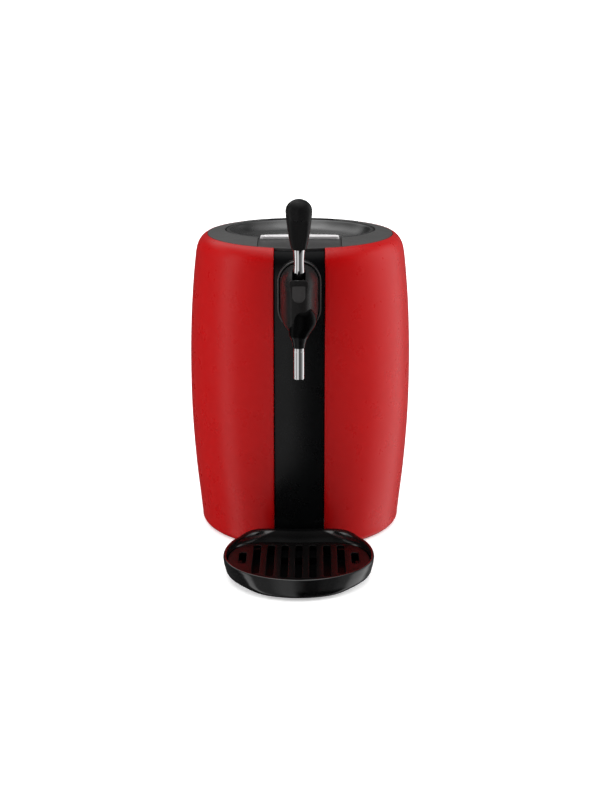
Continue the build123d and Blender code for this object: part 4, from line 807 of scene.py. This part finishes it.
# ------------------------------------------------------------------ nozzle and spout with rolled ends
prof = [(6.0, 266.4), (6.3, 265.85), (6.75, 265.8), (7.0, 266.2), (7.05, 267.0), (7.2, 269.0), (7.5, 270.6), (8.1, 272.6),
        (8.7, 274.6), (9.2, 276.6), (9.55, 278.4), (9.35, 278.8), (9.35, 279.3), (9.75, 279.7), (9.88, 281.0), (9.9, 290.0), (6.4, 290.0),
        (6.2, 272.4), (6.0, 271.0), (6.0, 266.4)]
rings = revolve(prof, 0.0, -222.0, 96)
verts, faces = skin(rings)
nozzle = raw_object("nozzle_cup", verts, faces)
finish(nozzle, "nozzle_black", "housing", 40.0)
bz_ = [277.2, 281.0, 287.0, 294.0, 301.0, 307.0, 311.0, 313.8]
br_ = [10.2, 11.6, 13.8, 15.4, 15.0, 12.6, 9.0, 3.6]
rings = []
for z in [276.9] + list(np.linspace(277.2, 313.8, 46)) + [314.2]:
    r = 9.9 if z < 277 else (1.2 if z > 314 else float(catmull(bz_, br_, z)))
    k = smooth((z - 277.0) / 20.0)
    rings.append([(4.6 * k + r * math.cos(2 * math.pi * j / 96), -222.0 + 1.4 * k + r * math.sin(2 * math.pi * j / 96), float(z))
                  for j in range(96)])
bulb = raw_object("nozzle_bulb", *skin(rings, cap_start=True, cap_end=True))
bm = bmesh.new()
bm.from_mesh(bulb.data)
bmesh.ops.recalc_face_normals(bm, faces=bm.faces)
bm.to_mesh(bulb.data)
bm.free()
finish(bulb, "nozzle_black", "housing", 40.0)
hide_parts("tap_nozzle")
prof = [(5.2, 262.0), (5.2, 230.1), (5.25, 229.75), (5.45, 229.6), (5.8, 229.6), (6.0, 229.75), (6.1, 230.15), (6.1, 230.5), (6.1, 232.7), (6.1, 233.0),
        (5.98, 233.2), (5.98, 233.7), (6.1, 233.9), (6.1, 234.2), (6.1, 236.0), (6.1, 261.0), (6.1, 262.0), (5.9, 262.2), (5.9, 271.0), (5.0, 271.0), (5.2, 262.0)]
rings = revolve(prof, 0.0, -222.0, 96)
verts, faces = skin(rings)
spout = raw_object("spout_pipe", verts, faces)
finish(spout, "spout_chrome", "housing", 40.0)
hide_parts("spout_tube")

# ------------------------------------------------------------------ lid: dish, pedestal, tongue, hinge arm, grip
LID_R, LID_TOP = 92.4, 372.0
top = [(0.0, 357.6), (48.0, 357.9), (68.0, 359.4), (78.0, 362.6), (84.2, 367.4), (87.6, 371.2)]
fine = [(float(r), float(catmull([p[0] for p in top], [p[1] for p in top], r)))
        for r in list(np.linspace(0.01, 60, 12)) + list(np.linspace(64, 87.6, 26))]
prof = fine + [(88.0, 371.55), (88.6, 371.85), (89.6, LID_TOP), (90.4, LID_TOP), (91.2, LID_TOP), (91.8, 371.82),
               (92.2, 371.4), (LID_R, 370.8), (LID_R, 370.2), (LID_R, 366.6), (LID_R, 366.0), (92.0, 366.0), (86.8, 366.0),
               (86.4, 366.0)]
under = [(0.01, 355.0), (48.0, 355.3), (68.5, 356.9), (79.4, 360.4), (86.4, 366.0)]
prof += [(float(r), float(catmull([p[0] for p in under], [p[1] for p in under], r))) for r in np.linspace(86.0, 0.01, 30)]
verts, faces = skin(revolve(prof, 0.0, 4.0, 160))
dish = raw_object("lid_dish", verts, faces)
bm = bmesh.new()
bm.from_mesh(dish.data)
bmesh.ops.recalc_face_normals(bm, faces=bm.faces)
bm.to_mesh(dish.data)
bm.free()


def bar_loop(grow):
    """Outline of the grip strip: straight front, softly arched back, blunt round ends."""
    pts = [(44.5, -88.0)]
    for a in range(-60, 76, 15):
        t = math.radians(a)
        pts.append((44.9 + 2.6 * math.cos(t), -84.2 + 2.9 * math.sin(t) * (1.0 if a < 0 else 1.9)))
    n = 24
    for i in range(n + 1):
        x = 45.0 - 90.0 * i / n
        pts.append((x, -72.4 - 5.6 * (x / 45.0) ** 2))
    for a in range(105, 241, 15):
        t = math.radians(a)
        pts.append((-44.9 + 2.6 * math.cos(t), -84.2 + 2.9 * math.sin(t) * (1.0 if a > 180 else 1.9)))
    pts.append((-44.5, -88.0))
    cx, cy = 0.0, -80.0
    out = []
    for x, y in pts:
        out.append((x + grow * (1 if x > 0 else -1) * min(1.0, abs(x) / 40.0), y + grow * (1 if y > cy else -0.3)))
    return out


pedestal = slab("lid_pedestal", [bar_loop(0.7)], 12.0, 0.5, lambda x, y, z: (x, y, z + 365.2), 2)
cols = 61
outer = [(115.4 * math.cos(p), 115.4 * OVAL * math.sin(p), 368.2) for p in np.linspace(-math.pi + 0.9, -0.9, cols)]
inner = [(97.0 * math.cos(p), 4.0 + 97.0 * math.sin(p), 372.0) for p in np.linspace(-math.pi + 0.75, -0.75, cols)]


def deck_height(x, y):
    """Height of the deck over a point: a ruled slope from the oval ring up to the round opening."""
    ang = math.atan2(y, x)
    lo, hi = 0.0, 1.0
    best = 0.0
    for _ in range(30):
        mid = (lo + hi) / 2
        a, b, c = 115.4 + (97.0 - 115.4) * mid, 115.4 * OVAL + (97.0 - 115.4 * OVAL) * mid, 4.0 * mid
        if (x / a) ** 2 + ((y - c) / b) ** 2 > 1.0:
            hi = mid
        else:
            lo = mid
    return 368.2 + 3.8 * lo


# tongue: grid over its plan, from the round lip out to the oval ring, with rolled long edges
half, e = 49.9, 0.9
us = [-half, -half + 0.1, -half + 0.3, -half + 0.6, -half + e] + list(np.linspace(-half + 2.5, half - 2.5, 43)) + \
     [half - e, half - 0.6, half - 0.3, half - 0.1, half]
rows = 18
grid = []
for x in us:
    y_out = -OVAL * math.sqrt(115.4 ** 2 - x * x)
    y_in = 4.0 - math.sqrt(90.6 ** 2 - x * x)
    side_d = half - abs(x)
    col = []
    for i in range(rows + 1):
        v = i / rows
        y = y_out + (y_in - y_out) * v
        fall = 0.0
        if side_d < e:
            fall = e - math.sqrt(max(0.0, e * e - (e - side_d) ** 2))
        front_d = y - y_out
        if front_d < e:
            fall = max(fall, e - math.sqrt(max(0.0, e * e - (e - front_d) ** 2)))
        col.append((x, y, deck_height(x, y) - fall))
    # fine steps over the front edge
    extra = []
    for d in (0.0, 0.08, 0.25, 0.5, 0.85):
        fall = e - math.sqrt(max(0.0, e * e - (e - d) ** 2))
        if side_d < e:
            fall = max(fall, e - math.sqrt(max(0.0, e * e - (e - side_d) ** 2)))
        extra.append((x, y_out + d, deck_height(x, y_out + d) - fall))
    grid.append([(x, y_out, 364.9)] + extra + col[1:] + [(x, y_in, 366.2), (x, y_out + 6.0, 364.9)])
verts, faces = skin([list(c) for c in grid], cap_start=True, cap_end=True)
tongue = raw_object("lid_tongue", verts, faces)
bm = bmesh.new()
bm.from_mesh(tongue.data)
bmesh.ops.recalc_face_normals(bm, faces=bm.faces)
bm.to_mesh(tongue.data)
bm.free()
arm = brick("lid_arm", -29.5, 29.5, 90.0, 106.0, 366.0, 368.6)
rings = [[(x, 106.0 + r * math.cos(2 * math.pi * j / 40), 364.0 + r * math.sin(2 * math.pi * j / 40)) for j in range(40)]
         for x, r in ((-29.5, 2.1), (-29.5, 4.2), (-29.1, 4.6), (29.1, 4.6), (29.5, 4.2), (29.5, 2.1), (-29.5, 2.1))]
verts, faces = skin(rings)
knuckle = raw_object("lid_knuckle", verts, faces)
bm = bmesh.new()
bm.from_mesh(knuckle.data)
bmesh.ops.recalc_face_normals(bm, faces=bm.faces)
bm.to_mesh(knuckle.data)
bm.free()
for ob, sharp in ((dish, 60.0), (pedestal, 30.0), (tongue, 40.0), (arm, 30.0), (knuckle, 40.0)):
    finish(ob, "lid_grey", "lid", sharp)
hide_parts("lid_shell")
grip = slab("grip_strip", [bar_loop(0.0)], 5.2, 1.7, lambda x, y, z: (x, y, z + 373.4), 5)
finish(grip, "grip_silver", "lid", 30.0)
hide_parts("lid_grip")

# ------------------------------------------------------------------ floor, light, camera
def pale(name, c, rough):
    m, nt, sh = new_material(name)
    vec = coords(nt)
    nt.links.new(ramp(nt, noise(nt, vec, 3.0, 3.0), [(0.3, shade(c, 0.995)), (0.7, c)]), sh.inputs["Base Color"])
    nt.links.new(span(nt, noise(nt, vec, 12.0, 4.0), rough, rough + 0.1, 0.3, 0.7), sh.inputs["Roughness"])
    sh.inputs["Specular IOR Level"].default_value = 0.1
    sh.inputs["Emission Color"].default_value = (1.0, 1.0, 1.0, 1)
    path = nt.nodes.new("ShaderNodeLightPath")
    nt.links.new(span(nt, path.outputs["Is Camera Ray"], 0.0, 0.45), sh.inputs["Emission Strength"])
    return m


me = bpy.data.meshes.new("floor")
S = 80.0
me.from_pydata([(-S, -S, 0), (S, -S, 0), (S, S, 0), (-S, S, 0)], [], [(0, 1, 2, 3)])
floor = bpy.data.objects.new("floor", me)
bpy.context.scene.collection.objects.link(floor)
me.materials.append(pale("floor_m", (0.90, 0.90, 0.90), 0.7))
floor.visible_glossy = False



def lamp(name, energy, angle, azimuth, elevation, mirrored=True):
    """A far soft lamp; azimuth 0 is from the front, positive from the right."""
    d = bpy.data.lights.new(name, "SUN")
    d.energy = energy
    d.angle = math.radians(angle)
    ob = bpy.data.objects.new(name, d)
    bpy.context.scene.collection.objects.link(ob)
    az, el = math.radians(azimuth), math.radians(elevation)
    src = Vector((math.sin(az) * math.cos(el), -math.cos(az) * math.cos(el), math.sin(el)))
    ob.rotation_euler = src.to_track_quat("Z", "Y").to_euler()
    ob.visible_glossy = mirrored
    return ob


lamp("overhead", 0.9, 50, 0, 90)
lamp("fill_right", 3.8, 50, 107, 10, False)
lamp("fill_left", 2.35, 50, -99, 10, False)

world = bpy.data.worlds.new("studio")
bpy.context.scene.world = world
world.use_nodes = True
wn = world.node_tree
bg = wn.nodes["Background"]
wtc = wn.nodes.new("ShaderNodeTexCoord")
wdir = wtc.outputs["Generated"]
wsep = wn.nodes.new("ShaderNodeSeparateXYZ")
wn.links.new(wdir, wsep.inputs[0])
def by_azimuth(stops):
    """Brightness round the horizon: 0 degrees is towards the front, positive to the right."""
    neg = mathn(wn, "MULTIPLY", wsep.outputs["Y"], -1.0)
    a = mathn(wn, "ARCTAN2", wsep.outputs["X"], neg)
    f = span(wn, a, 0.0, 1.0, -math.pi, math.pi)
    r = wn.nodes.new("ShaderNodeValToRGB")
    e = r.color_ramp.elements
    e[0].position, e[0].color = 0.0, (*(stops[0][1],) * 3, 1)
    e[1].position, e[1].color = 1.0, (*(stops[-1][1],) * 3, 1)
    for d, v in stops[1:-1]:
        k = e.new((d + 180.0) / 360.0)
        k.color = (v, v, v, 1)
    wn.links.new(f, r.inputs["Fac"])
    return r.outputs["Color"]


def height(z0, z1, v0, v1):
    r = wn.nodes.new("ShaderNodeMapRange")
    r.interpolation_type = "SMOOTHSTEP"
    r.inputs["From Min"].default_value = z0
    r.inputs["From Max"].default_value = z1
    r.inputs["To Min"].default_value = v0
    r.inputs["To Max"].default_value = v1
    wn.links.new(wsep.outputs["Z"], r.inputs["Value"])
    return r.outputs["Result"]


# a broad soft wall at the front left, a strip each side, dim behind; a bank overhead
walls = by_azimuth([(-180, 0.06), (-150, 0.05), (-112, 0.06), (-102, 0.12), (-97, 1.5), (-86, 1.5), (-80, 0.30),
                    (-50, 0.34), (-38, 0.58), (-28, 0.74), (-11, 0.74), (-3, 0.40), (8, 0.14), (12, 0.04), (32, 0.04),
                    (38, 0.13), (60, 0.17), (78, 0.34), (90, 0.38), (101, 1.1), (132, 1.2), (146, 0.18), (180, 0.06)])
low = mathn(wn, "MULTIPLY", by_azimuth([(-180, 0.0), (-8, 0.0), (4, 1.0), (100, 1.0), (115, 0.0), (180, 0.0)]),
            height(-0.70, -0.56, 1.0, 0.0))
walls = mathn(wn, "MULTIPLY", walls, mathn(wn, "SUBTRACT", 1.0, low))
walls = mathn(wn, "MULTIPLY", walls, height(0.35, 0.62, 1.0, 0.2))
rear = mathn(wn, "MULTIPLY", by_azimuth([(-180, 0.30), (-150, 1.2), (-100, 0.0), (120, 0.0), (150, 0.05), (180, 0.26)]),
             height(0.30, 0.50, 0.0, 1.0))
total = mathn(wn, "ADD", mathn(wn, "ADD", walls, rear), height(0.62, 0.84, 0.0, 1.05))
lp = wn.nodes.new("ShaderNodeLightPath")
seen = wn.nodes.new("ShaderNodeMix")
seen.data_type = "FLOAT"
wn.links.new(lp.outputs["Is Camera Ray"], seen.inputs["Factor"])
wn.links.new(total, seen.inputs["A"])
seen.inputs["B"].default_value = 1.0
wn.links.new(seen.outputs["Result"], bg.inputs["Strength"])
bg.inputs["Color"].default_value = (1.0, 1.0, 1.0, 1)

cam_data = bpy.data.cameras.new("camera")
cam_data.sensor_width = 36.0
cam_data.lens = 1766.6 * 36.0 / 800.0
cam_data.clip_end = 300.0
cam = bpy.data.objects.new("camera", cam_data)
bpy.context.scene.collection.objects.link(cam)
cam.location = (0.0145, (YC - 2200.0) * MM, 0.6711)
cam.rotation_euler = Euler((math.radians(90 - 13.267), 0, math.radians(0.382)))
bpy.context.scene.camera = cam
bpy.context.scene.view_settings.view_transform = "Standard"
bpy.context.scene.view_settings.look = "None"
